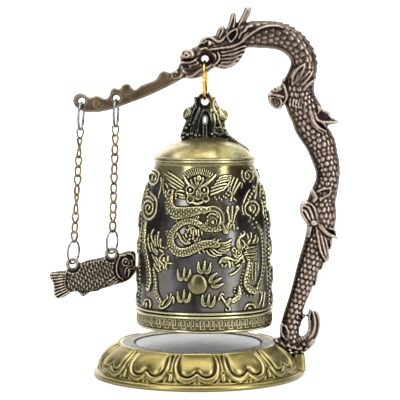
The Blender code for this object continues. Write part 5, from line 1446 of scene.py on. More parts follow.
# keep the silhouette
Pp = spline(sh(FISH), 0.4, closed=True)
inside = np.zeros(fi.X.shape, bool)
d2 = np.full(fi.X.shape, 1e9)
for i in range(len(Pp)):
    a, b_ = Pp[i], Pp[(i + 1) % len(Pp)]
    ab = b_ - a
    u = np.clip(((fi.X - a[0]) * ab[0] + (fi.Z - a[1]) * ab[1]) / max(float(ab @ ab), 1e-12), 0, 1)
    d2 = np.minimum(d2, (fi.X - a[0] - u * ab[0]) ** 2 + (fi.Z - a[1] - u * ab[1]) ** 2)
    c = (a[1] > fi.Z) != (b_[1] > fi.Z)
    if abs(b_[1] - a[1]) > 1e-12:
        inside ^= c & (fi.X < a[0] + (fi.Z - a[1]) / (b_[1] - a[1]) * ab[0])
dd = np.sqrt(d2)
rim = 0.60 + 3.6 * np.sqrt(np.clip(1 - (1 - np.clip(dd / 3.4, 0, 1)) ** 2, 0, 1))
fi.T = np.where(inside, np.minimum(np.maximum(fi.T, 1.05), rim), -dd)
# tail fin rays
for (x0, y0), (x1, y1) in (((65.6, 272.6), (51.6, 273.4)), ((65.4, 274.6), (51.4, 276.2)), ((65.2, 277.0), (52.2, 279.0)), ((65.0, 279.6), (53.6, 281.8)),
                           ((65.0, 282.2), (54.6, 285.2)), ((65.2, 284.8), (55.2, 288.6)), ((65.8, 287.2), (55.4, 292.0)), ((67.0, 289.4), (55.8, 295.2)),
                           ((69.0, 291.2), (59.6, 297.2))):
    FR([(x0, y0, 0.75), ((x0 + x1) / 2, (y0 + y1) / 2, 1.15), (x1, y1, 0.95)], 0.85)
FR([(66.4, 270.6, 0.9), (65.4, 276, 1.1), (65.2, 282, 1.1), (66.6, 288, 1.0), (70.5, 291.4, 0.8)], 0.5)
FR([(51.0, 273.4, 0.8), (50.8, 277.6, 0.8), (53.2, 282.4, 0.8), (54.0, 287.0, 0.8), (54.2, 292.0, 0.8), (55.4, 296.6, 0.8), (58.4, 297.6, 0.8)], 0.45)
# gill cover, head ridge, eye, mouth
fi.groove(sh([(118.6, 256.2), (115.4, 262.0), (114.6, 268.6), (117.0, 275.6), (121.8, 280.4)]), 0.5, 0.9)
FR([(119.4, 256.6, 0.9), (117.4, 262.4, 1.3), (116.9, 268.6, 1.4), (118.8, 274.6, 1.4), (122.6, 278.4, 0.9)], 0.85)
FR([(118.6, 255.2, 0.8), (124, 254.2, 1.2), (129.6, 253.0, 1.3), (133.4, 255.0, 1.1), (134.0, 260.0, 0.8)], 0.6)
fi.blob(sh(np.array([126.0, 261.2])), 3.0 / SHEET, 3.0 / SHEET, 0.35, base=2.7)
FR([(126.0 + 3.5 * math.cos(t), 261.2 + 3.5 * math.sin(t), 0.85) for t in np.linspace(0, 2 * math.pi, 22)], 0.55)
fi.groove(sh([(126.0 + 2.1 * math.cos(t), 261.2 + 2.1 * math.sin(t)) for t in np.linspace(0, 2 * math.pi, 18)]), 0.36, 0.8)
FR([(125.3, 261.0, 1.0), (126.4, 260.4, 1.0)], 0.5)
fi.groove(sh([(133.6, 266.4), (129.0, 266.6), (126.6, 270.6), (127.2, 275.4)]), 0.36, 1.0)
FR([(132.6, 265.2, 0.7), (128.6, 265.8, 0.9), (125.6, 268.8, 1.0), (125.2, 272.8, 0.8)], 0.8)
FR([(129.8, 270.6, 0.8), (128.2, 275.2, 0.9)], 0.6)
FR([(131.8, 259.6, 0.7), (133.2, 263.8, 0.8)], 0.5)
# pectoral fin and belly fin
for a, b_ in (((116.4, 275.0), (107.6, 282.6)), ((118.2, 276.6), (109.4, 283.4)), ((119.6, 278.6), (111.8, 284.2)), ((113.6, 276.2), (107.0, 280.8))):
    FR([(*a, 0.6), ((a[0] + b_[0]) / 2, (a[1] + b_[1]) / 2, 0.95), (*b_, 0.6)], 0.8)
fi.polygon(sh([(77.2, 290.2), (80.9, 296.4), (83.0, 296.8), (90.3, 291.2), (90, 288)]), 0.95, edge=0.5)
for a, b_ in (((80, 291.5), (82.4, 296)), ((83.4, 291.5), (84.6, 295)), ((86.6, 291), (87.2, 293.2))):
    FR([(*a, 0.6), (*b_, 0.6)], 0.4)
# eyelets
for cx, cz in ((-51.0, 44.6), (-35.1, 48.9)):
    fi.limit((cx, cz), 2.7, 1.0, 3.0)
    fi.blob((cx, cz), 2.85, 2.85, 0.35, base=0.62)
    t = np.linspace(0, 2 * math.pi, 28)
    fi.raise_line(np.column_stack([cx + 2.2 * np.cos(t), cz + 2.2 * np.sin(t), np.full(28, 0.5)]), None, 0.16, curve=False)
    fi.hole((cx, cz), 1.42, 0.25)
Vf, Ff = solid_from(fi, 0.20, soften=1)
fish = mesh_obj("fish_relief", Vf, Ff)
keep_big(fish, 200)
cavity(fish, ((4, 0.5), (14, 0.5)), 1.0)
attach(fish, "striker")
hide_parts("fish_striker")
paint(fish, antique("antique_bronze_fish", (0.016, 0.013, 0.012), (0.085, 0.066, 0.048), (0.56, 0.49, 0.37), rough=(0.46, 0.28),
                    thresholds=(0.40, 0.64, 0.97), wobble=0.18, mottle=0.2, grain=3000.0, bumpd=0.00003))
print("fish faces", len(fish.data.polygons))


# ------------------------------------------------------------------ crown on the bell
cr = Relief(-9.0, 22.5, 88.0, 118.0, 0.20)


def CS(pts, base=0.0, k=0.8, **kw):
    cr.stroke(sh(pts), k=k, base=base, step=0.3, **kw)


def CR(pts, h, r=None):
    cr.raise_line(sh(pts), None if r is None else r / SHEET, h, step=0.3)


def CB(c, rx, rz, h, base=0.0, rot=0.0, **kw):
    cr.blob(sh(np.array(c, float)), rx / SHEET, rz / SHEET, h, rot=rot, base=base, **kw)


rope = ribs(0.85, 0.34, slant=0.5)
cr.polygon(sh([(180.6, 146), (181.0, 137.6), (182.8, 129.9), (184.9, 124.8), (186.9, 120.7), (184.2, 115.6), (183.8, 112.6), (187.4, 107.8), (192, 105.6),
               (194.2, 101.9), (195.4, 98.6), (198.8, 95.6), (201.6, 94.4), (205, 93.6), (208.4, 93.8), (213.4, 95.6), (216.0, 97.6), (216.4, 101),
               (217.6, 104.2), (223.6, 108.4), (227.1, 112.8), (227.2, 115.6), (224.3, 119.8), (224.8, 122.9), (226.8, 129.9), (229.6, 134.5),
               (229.6, 146)]), 2.0, edge=1.3)
# two twisted bodies that rise to the eye
CS([(182.6, 136, 2.6), (185.6, 128, 2.7), (189.4, 119, 2.7), (193.6, 110, 2.5), (197.0, 102, 2.2), (200.6, 96.0, 1.6)], base=2.0, k=0.8, tex=rope)
CS([(190.4, 138, 2.2), (191.6, 130, 2.3), (194.6, 121, 2.3), (198.0, 112, 2.0), (200.2, 106.6, 1.3)], base=2.2, k=0.8, tex=rope)
CS([(197.0, 136, 1.8), (196.8, 127, 2.0), (199.2, 117, 2.0), (203.4, 110.2, 1.8), (208.2, 110.2, 1.8), (211.4, 116, 2.0), (213.2, 126, 2.0), (213.6, 136, 1.8)],
   base=1.9, k=0.85, tex=rope)
CS([(201.4, 136, 1.0), (200.8, 126, 1.2), (202.0, 118.0, 1.3), (204.9, 114.0, 1.2), (207.8, 118.0, 1.3), (209.4, 126, 1.2), (209.2, 136, 1.0)], base=1.6, k=0.8)
CR([(204.9 + 2.6 * math.cos(t), 119.3 + 4.6 * math.sin(t), 0.9) for t in np.linspace(0, 2 * math.pi, 24)], 0.7)
for x in (203.4, 206.4):
    CR([(x, 125, 0.7), (x - 0.2, 131, 0.8), (x, 136, 0.6)], 0.6)
# left shoulder
CB((187.6, 112.6), 4.6, 7.0, 1.9, base=2.1, rot=-0.5)
for i in range(4):
    x, y = 184.6 + 2.1 * i, 116.8 - 0.4 * i
    CR([(x, y, 0.6), (x + 1.8, y - 4.4, 0.75), (x + 4.0, y - 8.6, 0.55)], 0.55)
CB((195.6, 98.2), 2.3, 2.3, 1.2, base=1.8)
# right horn and shoulder
CB((222.4, 113.6), 5.4, 7.4, 2.3, base=2.1, rot=0.55)
CS([(215.2, 97.4, 1.4), (212.2, 101.4, 1.7), (212.8, 106.4, 1.8), (216.6, 112.0, 1.7), (221.6, 118.4, 1.3)], base=3.3, k=0.8)
CS([(210.2, 96.4, 1.2), (209.8, 103.6, 1.4), (211.6, 110.4, 1.3)], base=2.7, k=0.8)
for i in range(3):
    x, y = 217.0 + 2.0 * i, 107.4 + 1.2 * i
    CR([(x, y, 0.6), (x + 2.6, y + 4.0, 0.8), (x + 3.8, y + 8.4, 0.5)], 0.4)
CS([(213.8, 113, 1.2), (214.8, 119, 1.5), (213.8, 126, 1.1)], base=3.0, k=0.8)
CS([(217.4, 115.4, 1.1), (218.8, 119.6, 1.3), (221.4, 124.6, 1.0)], base=3.0, k=0.8)
# face low on the right, paws and folds over the foot
CR([(217.3 + 2.6 * math.cos(t), 124.6 + 2.6 * math.sin(t), 0.85) for t in np.linspace(0, 2 * math.pi, 20)], 1.1)
CB((224.0, 127.2), 1.7, 2.4, 1.0, base=2.9)
CS([(214.6, 131.6, 1.2), (219.4, 133.6, 1.4), (224.2, 132.2, 1.3), (228.0, 134.6, 1.0)], base=3.0, k=0.8)
CS([(220.6, 126, 1.0), (222.6, 130.0, 1.1), (226.0, 133.0, 0.9)], base=3.1, k=0.8)
for x, y, r in ((183.6, 132.2, 2.0), (187.4, 133.8, 2.0), (191.6, 132.6, 1.8), (186.0, 127.2, 1.7), (195.4, 134.4, 1.7), (183.0, 136.6, 1.6),
                (211.6, 133.2, 1.6), (199.6, 134.6, 1.4), (189.6, 124.0, 1.5), (226.4, 131.0, 1.5)):
    CB((x, y), r, r, 0.9, base=2.9)
# loop round the eye and its thin tip
t = np.linspace(0, 2 * math.pi, 36)
cr.stroke(np.column_stack([2.8 + 2.55 * np.cos(t), 110.95 + 2.75 * np.sin(t), np.full(36, 0.95)]), base=1.0, k=0.7, curve=False)
CS([(207.8, 96.4, 1.2), (208.8, 93.0, 0.75), (209.4, 90.4, 0.3)], base=0.4, k=0.8)
# tail that lies on the dome
CS([(226.0, 135.0, 2.6), (232.6, 139.6, 2.2), (240.8, 145.0, 1.9), (245.6, 148.6, 2.2), (249.0, 152.2, 1.4)], base=0.7, k=0.7, tex=ribs(1.1, 0.25))
# fuller towards the foot
cap = 2.2 + 0.42 * np.maximum(cr.T - 2.2, 0)
low_ = smoothstep(106.0, 99.0, cr.Z)
cr.T = np.where(cr.T > 2.2, cr.T * (1 - low_) + cap * low_, cr.T)
cr.limit((2.8, 111.7), 2.4, 1.3, 0.85)
cr.hole((2.8, 110.95), 1.48, 0.3)
w = cr.window(np.array([2.0, 101.5]), np.array([3.6, 106.0]), 0.4)
sl = np.sqrt(((cr.X[w] - 2.8) / 0.50) ** 2 + ((cr.Z[w] - 103.55) / 1.40) ** 2) - 1.0
cr.T[w] = np.where(sl < 0, -0.5, cr.T[w])
DOME = [(0.0, 96.45), (5.0, 96.2), (9.0, 95.4), (12.6, 94.1), (15.3, 92.6), (17.5, 90.9), (19.2, 89.0), (19.75, 88.35), (21.0, 87.6), (24.0, 84.0)]


def on_dome(F, rel, y):
    r = np.sqrt((rel.x[:, None] - BELL_X) ** 2 + y[None, :] ** 2)
    top = np.interp(r, [p[0] for p in DOME], [p[1] for p in DOME])
    d = (rel.z[None, None, :] - top[:, :, None] - 0.06) * 0.8
    return np.maximum(F, np.clip(-d, -1.2, 1.2)).astype(np.float32)


Vc, Fc = solid_from(cr, 0.22, soften=1, extra=on_dome)
crown = mesh_obj("crown_relief", Vc, Fc)
keep_big(crown, 300)
cavity(crown, ((4, 0.5), (12, 0.5)), 1.0)
vc = coords(crown.data) * 1000.0
pc_ = np.column_stack([vc[:, 0] * SHEET + SX, SY - vc[:, 2] * SHEET])
gl = smoothstep(208, 213, pc_[:, 0]) * smoothstep(122, 112, pc_[:, 1]) + 0.55 * smoothstep(192, 188, pc_[:, 0]) * smoothstep(120, 114, pc_[:, 1])
gl = np.clip(gl + 0.35 * smoothstep(212, 216, pc_[:, 0]) * smoothstep(136, 126, pc_[:, 1]), 0, 1)
put_attr(crown, "zone", gl)
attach(crown, "bell")
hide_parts("bell_crown")
print("crown faces", len(crown.data.polygons))


def black_brass():
    m = antique("blackened_brass", (0.005, 0.005, 0.005), (0.022, 0.021, 0.019), (0.25, 0.25, 0.21), rough=(0.40, 0.24),
                thresholds=(0.45, 0.70, 1.0), wobble=0.20, mottle=0.2, grain=3200.0, bumpd=0.00003)
    nt = m.node_tree
    b = nt.nodes["Principled BSDF"]
    src = b.inputs["Base Color"].links[0].from_socket
    z = nt.nodes.new("ShaderNodeAttribute")
    z.attribute_name = "zone"
    at = nt.nodes.new("ShaderNodeAttribute")
    at.attribute_name = "cavity"
    tc = nt.nodes.new("ShaderNodeTexCoord").outputs["Object"]
    n = noise(nt, 500.0, 4.0, 0.6, tc)
    v = math_node(nt, "ADD", at.outputs["Fac"], math_node(nt, "MULTIPLY", math_node(nt, "SUBTRACT", n, 0.5), 0.25), clamp=True)
    col = ramp(nt, v, [(0.20, (0.03, 0.03, 0.022)), (0.42, (0.22, 0.21, 0.11)), (0.75, (0.66, 0.64, 0.38))])
    nt.links.new(mix(nt, z.outputs["Fac"], src, col), b.inputs["Base Color"])
    return m


paint(crown, black_brass())


# ------------------------------------------------------------------ lotus base
PR = 38.0                                  # radius at which a petal is drawn true size
HP = math.pi * PR / 12.0                   # half a petal's width, mm
pt = Relief(-HP - 3.0, HP + 3.0, -0.5, 12.6, 0.14)
pt.T[:] = -9.0


def both_sides(f, pts, **kw):
    f(pts, **kw)
    f([(-p[0], *p[1:]) for p in pts], **kw)


def PS(pts, k=0.7, base=0.2, **kw):
    pt.stroke(np.array(pts, float), k=k, base=base, step=0.25, **kw)


# heart-shaped double rim
both_sides(PS, [(-7.5, -0.4, 0.62), (-8.35, 3.0, 0.70), (-8.3, 6.4, 0.80), (-6.9, 9.2, 0.95), (-4.2, 10.3, 1.0), (-1.9, 9.9, 0.95), (0.0, 8.6, 0.85)], k=1.05, base=0.35)
# pad: domed, notched at the tip
NU_ = 30
pad_edge = [(-6.3, -0.6), (-7.0, 2.4), (-6.9, 5.4), (-5.9, 7.8), (-4.0, 8.8), (-1.9, 8.4), (0.0, 7.0), (1.9, 8.4), (4.0, 8.8), (5.9, 7.8), (6.9, 5.4), (7.0, 2.4), (6.3, -0.6)]
pt.polygon(np.array(pad_edge, float), 1.35, edge=1.9, dome=0.12, curve=True)
both_sides(PS, [(-HP, -0.4, 0.50), (-HP, 3.5, 0.50), (-HP, 7.0, 0.6)], k=0.8, base=0.25)
pt.blob((-HP, 9.4), 1.0, 1.5, 1.1, base=0.25)
pt.blob((HP, 9.4), 1.0, 1.5, 1.1, base=0.25)
both_sides(PS, [(-HP + 0.6, 7.2, 0.5), (-HP + 1.5, 9.4, 0.55), (-HP + 2.4, 10.7, 0.45)], k=0.8, base=0.2)
both_sides(PS, [(-HP - 0.6, 7.2, 0.5), (-HP - 1.5, 9.4, 0.55), (-HP - 2.4, 10.7, 0.45)], k=0.8, base=0.2)
PS([(-0.9, 10.8, 0.5), (0.0, 9.9, 0.6), (0.9, 10.8, 0.5)], k=0.8, base=0.2)
pt_map = blur(np.maximum(pt.T, 0.0), 1)

low_rim = [(40.6, 0.0), (42.0, 0.05), (42.45, 0.4), (42.55, 0.9), (42.4, 1.45), (42.0, 1.9), (41.5, 2.2), (41.1, 2.35), (40.95, 2.5)]
slope_a = np.array([(40.9, 2.65), (40.75, 3.6), (40.2, 5.2), (39.1, 7.3), (37.3, 9.4), (35.0, 11.2), (33.1, 12.35), (32.3, 12.65)])
top_a = [(32.2, 12.72), (32.05, 12.95), (31.75, 13.12), (31.35, 13.16), (30.95, 13.02), (30.6, 12.78), (30.0, 12.72), (29.0, 12.82), (28.0, 12.86),
         (27.2, 12.88), (26.85, 12.98), (26.6, 13.08), (26.35, 13.0), (26.2, 12.75), (26.15, 12.3), (26.1, 11.25)]
inner_a = [(24.0, 11.2), (14.0, 11.2), (4.0, 11.2), (0.4, 11.2)]
under_a = [(0.4, 9.2), (14.0, 9.2), (26.0, 9.2), (30.0, 9.0), (33.4, 7.6), (36.2, 4.6), (37.6, 1.5), (38.4, 0.4), (39.4, 0.0)]
sa = spline(low_rim, 0.22)
sb = spline(slope_a, 0.16)
sc = spline(top_a, 0.16)
prof = np.vstack([sa, sb, sc, np.array(inner_a), np.array(under_a)])
n1, n2, n3 = len(sa), len(sa) + len(sb), len(sa) + len(sb) + len(sc)
lenb = np.concatenate([[0], np.cumsum(np.linalg.norm(np.diff(sb, axis=0), axis=1))])
tt = lenb[-1] - lenb                        # 0 at the top of the petals
tt = tt * (11.35 / lenb[-1])
NB = 840
phi = np.linspace(0, 2 * math.pi, NB, endpoint=False)
loc = np.mod(phi + math.radians(0.6) + math.pi / 12.0, math.pi / 6.0) - math.pi / 12.0
uu = np.clip((loc * PR - pt.x0) / pt.res, 0, pt.nx - 1.001)
vv = np.clip((tt - pt.z0) / pt.res, 0, pt.nz - 1.001)
i0, j0 = uu.astype(int), vv.astype(int)
fu, fv = (uu - i0)[:, None], (vv - j0)[None, :]
hb = (pt_map[i0][:, j0] * (1 - fu) * (1 - fv) + pt_map[i0 + 1][:, j0] * fu * (1 - fv)
      + pt_map[i0][:, j0 + 1] * (1 - fu) * fv + pt_map[i0 + 1][:, j0 + 1] * fu * fv)
hb = hb * smoothstep(0.0, 0.35, tt)[None, :]
Hb = np.zeros((NB, len(prof)))
Hb[:, n1:n2] = hb * 0.80
tg = np.gradient(prof, axis=0)
tg /= np.linalg.norm(tg, axis=1)[:, None] + 1e-9
nb = np.column_stack([tg[:, 1], -tg[:, 0]])
# the slope sits lower than the rims, so that the drawing rises to the old outline
sink = np.zeros(len(prof))
sink[n1:n2] = 0.55 * smoothstep(0.0, 0.8, tt) * smoothstep(0.0, 0.6, lenb)
# lug and arm foot stand here: flatten the relief under the foot
toe = np.abs(np.mod(phi - math.pi / 2 + math.pi, 2 * math.pi) - math.pi)
calm = 1 - 0.75 * smoothstep(0.26, 0.16, toe)[:, None]
D = Hb * calm - sink[None, :]
cov = 0.05 * np.sin(phi * 36.0)[:, None] * np.exp(-((prof[:, 0] - 28.2) / 0.9) ** 2)[None, :] * (np.arange(len(prof))[None, :] >= n2) * (np.arange(len(prof))[None, :] < n3)
rr = prof[:, 0][None, :] + D * nb[:, 0][None, :]
zz = prof[:, 1][None, :] + D * nb[:, 1][None, :] + cov
V = np.stack([rr * np.sin(phi)[:, None], -rr * np.cos(phi)[:, None], zz], -1)
V[..., 2] = np.maximum(V[..., 2], 0.0)
base = mesh_obj("lotus_base", V.reshape(-1, 3) * MM, grid_faces(NB, len(prof), True, True))
cb = cavity(base, ((5, 0.5), (20, 0.5)))
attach(base, "stand")
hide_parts("base_casting")
print("base faces", len(base.data.polygons))
M_BASE = antique("antique_brass_base", (0.030, 0.023, 0.016), (0.225, 0.183, 0.056), (0.440, 0.380, 0.170), rough=(0.42, 0.30),
                 thresholds=(0.24, 0.46, 0.92), wobble=0.14, mottle=0.14, grain=2600.0, bumpd=0.000025, dark_metal=0.95)


def ledge_metal():
    """The flat ledge round the disc is worn grey."""
    m = M_BASE.copy()
    m.name = "antique_brass_base_ledge"
    nt = m.node_tree
    b = nt.nodes["Principled BSDF"]
    src = b.inputs["Base Color"].links[0].from_socket
    z = nt.nodes.new("ShaderNodeAttribute")
    z.attribute_name = "ledge"
    tc = nt.nodes.new("ShaderNodeTexCoord").outputs["Object"]
    n1 = noise(nt, 700.0, 5.0, 0.65, tc)
    col = ramp(nt, n1, [(0.36, (0.075, 0.068, 0.052)), (0.50, (0.26, 0.25, 0.215)), (0.68, (0.40, 0.39, 0.35))])
    nt.links.new(mix(nt, z.outputs["Fac"], src, col), b.inputs["Base Color"])
    nt.links.new(math_node(nt, "SUBTRACT", 1.0, math_node(nt, "MULTIPLY", z.outputs["Fac"], 0.55)), b.inputs["Metallic"])
    nt.links.new(math_node(nt, "ADD", math_node(nt, "MULTIPLY", z.outputs["Fac"], 0.22), 0.32), b.inputs["Roughness"])
    return m


led = np.zeros((NB, len(prof)))
pr_r = prof[:, 0]
led[:, n2:n3] = (smoothstep(31.0, 30.4, pr_r[n2:n3]))[None, :]
put_attr(base, "ledge", led.reshape(-1))
paint(base, ledge_metal())


def soft_box(name, lo, hi, r, taper=0.0):
    """Cast block with rounded edges, slightly narrower at the top."""
    bm = bmesh.new()
    bmesh.ops.create_cube(bm, size=1.0)
    lo, hi = np.array(lo, float), np.array(hi, float)
    for v in bm.verts:
        p = (np.array(v.co) + 0.5) * (hi - lo) + lo
        if v.co.z > 0:
            c = (lo + hi) / 2
            p[0] = c[0] + (p[0] - c[0]) * (1 - taper)
            p[1] = c[1] + (p[1] - c[1]) * (1 - taper)
        v.co = p * MM
    bmesh.ops.bevel(bm, geom=bm.edges[:], offset=r * MM, segments=4, affect="EDGES", profile=0.5)
    bmesh.ops.subdivide_edges(bm, edges=bm.edges[:], cuts=3, use_grid_fill=True)
    me = bpy.data.meshes.new(name)
    bm.to_mesh(me)
    bm.free()
    me.shade_smooth()
    ob = bpy.data.objects.new(name, me)
    bpy.context.scene.collection.objects.link(ob)
    return ob


lug = soft_box("base_lug", (38.4, -4.2, 0.8), (44.1, 5.0, 9.0), 1.5, 0.22)
cavity(lug, ((4, 0.5), (12, 0.5)))
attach(lug, "stand")
paint(lug, M_BASE)

# inlaid disc: turned face with fine rings and a bevelled edge
dp = [(0.3, 11.45)] + [(r, 11.45) for r in (8.0, 16.0, 22.0, 25.0)] + [(25.5, 11.6), (25.68, 12.0), (25.66, 12.45), (25.45, 12.66)]
dp += [(float(r), 12.70 + 0.012 * math.sin(float(r) * 5.0)) for r in np.arange(25.2, 0.3, -0.25)] + [(0.3, 12.70)]
dp = np.array(dp)
ND = 240
pd = np.linspace(0, 2 * math.pi, ND, endpoint=False)
Vd = np.stack([dp[:, 0][None, :] * np.sin(pd)[:, None], -dp[:, 0][None, :] * np.cos(pd)[:, None], dp[:, 1][None, :] + 0 * pd[:, None]], -1)
disc = mesh_obj("disc_turned", Vd.reshape(-1, 3) * MM, grid_faces(ND, len(dp), True, True))
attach(disc, "stand")
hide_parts("inlay_disc")


def disc_metal():
    m, nt, b = nodes_of("polished_disc")
    tc = nt.nodes.new("ShaderNodeTexCoord").outputs["Object"]
    sep = nt.nodes.new("ShaderNodeSeparateXYZ")
    nt.links.new(tc, sep.inputs[0])
    xx = math_node(nt, "MULTIPLY", sep.outputs[0], sep.outputs[0])
    yy = math_node(nt, "MULTIPLY", sep.outputs[1], sep.outputs[1])
    r = math_node(nt, "POWER", math_node(nt, "ADD", xx, yy), 0.5)
    com = nt.nodes.new("ShaderNodeCombineXYZ")
    nt.links.new(r, com.inputs[0])
    n1 = noise(nt, 2600.0, 3.0, 0.6, com.outputs[0])
    n2 = noise(nt, 120.0, 4.0, 0.55, tc)
    n3 = noise(nt, 900.0, 4.0, 0.6, tc)
    col = mix(nt, ramp(nt, n2, [(0.35, g(0.0)), (0.65, g(1.0))]), (0.112, 0.113, 0.113), (0.162, 0.162, 0.159))
    col = mix(nt, math_node(nt, "MULTIPLY", n1, 0.35), col, (0.19, 0.19, 0.187))
    nt.links.new(col, b.inputs["Base Color"])
    b.inputs["Metallic"].default_value = 0.70
    b.inputs["Specular IOR Level"].default_value = 0.25
    ro = math_node(nt, "ADD", math_node(nt, "MULTIPLY", n3, 0.16), 0.27)
    nt.links.new(ro, b.inputs["Roughness"])
    nt.links.new(bump(nt, n1, 0.12, 0.00002), b.inputs["Normal"])
    return m


paint(disc, disc_metal())


def felt():
    m, nt, b = nodes_of("felt_pad")
    tc = nt.nodes.new("ShaderNodeTexCoord").outputs["Object"]
    n1 = noise(nt, 1800.0, 6.0, 0.7, tc)
    n2 = noise(nt, 160.0, 3.0, 0.5, tc)
    c = mix(nt, n1, (0.012, 0.014, 0.013), (0.05, 0.053, 0.05))
    nt.links.new(mix(nt, ramp(nt, n2, [(0.4, g(0.0)), (0.7, g(0.4))]), c, (0.07, 0.07, 0.065)), b.inputs["Base Color"])
    b.inputs["Roughness"].default_value = 0.95
    nt.links.new(bump(nt, n1, 0.8, 0.00012), b.inputs["Normal"])
    return m


def carried(node, mat):
    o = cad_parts[node]
    o.data.materials.clear()
    o.data.materials.append(mat)


carried("base_pad", felt())
M_SCREW = wire_metal("screw_steel", (0.42, 0.42, 0.43), (0.22, 0.21, 0.20), 0.26, 1500.0)
carried("arm_screw", M_SCREW)
carried("crown_screw", M_SCREW)


# ------------------------------------------------------------------ rings and chains
def node_frame(node):
    """Centre and axes (long, wide, thin) of a ring-like part, with its half sizes, in mm."""
    P = np.array([tuple(v.co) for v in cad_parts[node].data.vertices], float) * 1000.0
    c = (P.max(0) + P.min(0)) / 2
    Q = P - P.mean(0)
    w, v = np.linalg.eigh(Q.T @ Q)
    ax = [v[:, 2], v[:, 1], v[:, 0]]
    if ax[0][2] < 0:
        ax[0] = -ax[0]
    if np.linalg.det(np.array(ax)) < 0:
        ax[1] = -ax[1]
    A = np.array(ax)
    pr = (P - c) @ A.T
    mid = (pr.max(0) + pr.min(0)) / 2
    return c + mid @ A, A, (pr.max(0) - pr.min(0)) / 2


def wire_piece(name, node, body, path_fn, radius, sides, mat, closed=True, face=None):
    c, A, h = node_frame(node)
    if face is not None:
        wide = np.array([math.cos(face), math.sin(face), 0.0])
        wide -= A[0] * (wide @ A[0])
        wide /= np.linalg.norm(wide)
        A = np.array([A[0], wide, np.cross(A[0], wide)])
    loc3 = path_fn(h)
    path = c + loc3[:, 0:1] * A[0] + loc3[:, 1:2] * A[1] + loc3[:, 2:3] * A[2]
    V_, F_ = tube_mesh(path, h[2] * radius, sides, closed)
    ob = mesh_obj(name, V_, F_)
    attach(ob, body)
    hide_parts(node)
    paint(ob, mat)
    return ob


M_CHAIN = wire_metal("brass_chain_wire", (0.330, 0.235, 0.120), (0.070, 0.046, 0.024), 0.30, 1700.0)
M_GILT = wire_metal("gilt_wire", (0.80, 0.44, 0.09), (0.62, 0.30, 0.045), 0.19, 1500.0)
M_STEEL = wire_metal("steel_wire", (0.300, 0.300, 0.320), (0.110, 0.108, 0.112), 0.26, 1500.0)


def curb():
    """Oval link of a curb chain, a little fuller at its ends."""
    def f(h):
        wire = h[2]
        a, b_ = h[0] - wire, h[1] - wire
        t = np.linspace(0, 2 * math.pi, 56, endpoint=False)
        wide = b_ * np.sin(t) * (1.0 + 0.30 * np.cos(t))
        return np.column_stack([a * np.cos(t), wide, 0.24 * np.sin(2 * t)])
    return f


# the links of a curb chain settle a few at a time into different twists
TWIST = {"a": (None, -58, 64, -20, 35, -16, 52, -62, 58, -20, 38, -25), "b": (None, -36, 32, -18, 40, -22, 30, -32, 26, -36, 22)}
for tag, count in (("a", 12), ("b", 11)):
    for i in range(count):
        n = "link_%s_%02d" % (tag, i + 1)
        tw = TWIST[tag][i]
        wire_piece("curb_%s_%02d" % (tag, i + 1), n, "chain_" + tag, curb(), 1.30 if tw is None else 1.55, 12, M_CHAIN,
                   face=None if tw is None else math.radians(tw))


def hoop(gap=0.0, start=0.0, spread=0.0):
    """Round ring bent from wire; the cut ends stay a hair apart."""
    def f(h):
        wire = h[2]
        a, b_ = h[0] - wire, h[1] - wire
        n = 72
        t = start + gap / 2 + (2 * math.pi - gap) * np.linspace(0, 1, n, endpoint=gap > 0)
        off = spread * np.linspace(-0.5, 0.5, n) if gap > 0 else np.zeros(n)
        return np.column_stack([a * np.cos(t), b_ * np.sin(t), off])
    return f


wire_piece("split_ring_a_top", "ring_a_top", "jump_ring_a", hoop(0.10, math.pi * 0.42), 1.20, 14, M_STEEL, closed=False)
wire_piece("split_ring_b_top", "ring_b_top", "jump_ring_b", hoop(0.10, math.pi * 1.55), 1.20, 14, M_STEEL, closed=False)
wire_piece("split_ring_a_low", "ring_a_bottom", "chain_a", hoop(0.10, math.pi * 0.5), 1.06, 14, M_STEEL, closed=False)
wire_piece("split_ring_b_low", "ring_b_bottom", "chain_b", hoop(0.10, math.pi * 0.5), 1.06, 14, M_STEEL, closed=False)
wire_piece("gilt_ring", "bell_ring", "hang_ring", hoop(0.05, math.pi * 0.5), 1.0, 20, M_GILT, closed=False)


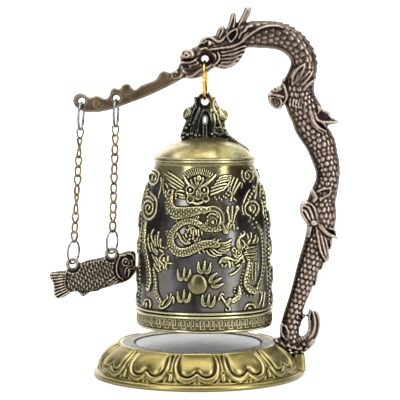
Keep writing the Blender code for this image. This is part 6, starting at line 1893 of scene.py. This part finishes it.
# ------------------------------------------------------------------ floor, light, camera
def sweep():
    """Pale floor that curves up into a pale wall far behind the object."""
    prof = [(-6.0, 0.0), (-2.0, 0.0), (0.0, 0.0), (1.2, 0.0)]
    for i in range(1, 17):
        a = math.radians(90 * i / 16.0)
        prof.append((1.2 + 1.0 * math.sin(a), 1.0 - 1.0 * math.cos(a)))
    prof += [(2.2, 3.0), (2.2, 6.0)]
    V = []
    for x in (-6.0, 6.0):
        for y, z in prof:
            V.append((x, y, z - 0.00005))
    n = len(prof)
    F = [(i, i + 1, n + i + 1, n + i) for i in range(n - 1)]
    me = bpy.data.meshes.new("floor")
    me.from_pydata(V, [], F)
    me.shade_smooth()
    ob = bpy.data.objects.new("floor", me)
    bpy.context.scene.collection.objects.link(ob)
    m, nt, b = nodes_of("pale_table")
    tc = nt.nodes.new("ShaderNodeTexCoord").outputs["Object"]
    n1 = noise(nt, 6.0, 3.0, 0.5, tc)
    c = mix(nt, n1, (0.86, 0.86, 0.855), (0.90, 0.90, 0.895))
    nt.links.new(c, b.inputs["Base Color"])
    b.inputs["Roughness"].default_value = 0.55
    paint(ob, m)
    return ob


floor = sweep()

scene = bpy.context.scene
world = bpy.data.worlds.new("studio")
world.use_nodes = True
world.node_tree.nodes["Background"].inputs[0].default_value = (1.0, 1.0, 1.0, 1)
world.node_tree.nodes["Background"].inputs[1].default_value = 0.24
scene.world = world


def area(name, loc, aim, sx, sy, power, col=(1, 1, 1)):
    l = bpy.data.lights.new(name, "AREA")
    l.shape = "RECTANGLE"
    l.size, l.size_y = sx, sy
    l.energy = power
    l.color = col
    o = bpy.data.objects.new(name, l)
    scene.collection.objects.link(o)
    o.location = loc
    o.rotation_euler = (Vector(aim) - Vector(loc)).to_track_quat("-Z", "Y").to_euler()
    return o


area("key_left", (-0.54, -0.68, 0.36), (0, 0, 0.07), 0.26, 0.64, 3.0)
area("key_right", (0.64, -0.58, 0.36), (0, 0, 0.07), 0.22, 0.70, 4.6)
area("top", (0.0, 0.05, 0.95), (0, 0, 0.05), 0.9, 0.9, 2.2)
area("wall_wash", (0.0, 0.75, 1.6), (0, 2.2, 0.5), 3.0, 0.8, 75.0)
area("floor_wash", (0.0, -0.3, 1.7), (0, 0.6, 0.0), 2.4, 1.4, 26.0)

cam = bpy.data.cameras.new("camera")
cam.lens = 160.0
cam.sensor_width = 36.0
cam.clip_start, cam.clip_end = 0.05, 50.0
co = bpy.data.objects.new("camera", cam)
scene.collection.objects.link(co)
co.location = (0.0008, -0.720, 0.127)
co.rotation_euler = (Vector((0.0008, 0.0, 0.071)) - Vector(co.location)).to_track_quat("-Z", "Y").to_euler()
scene.camera = co
scene.view_settings.view_transform = "Standard"
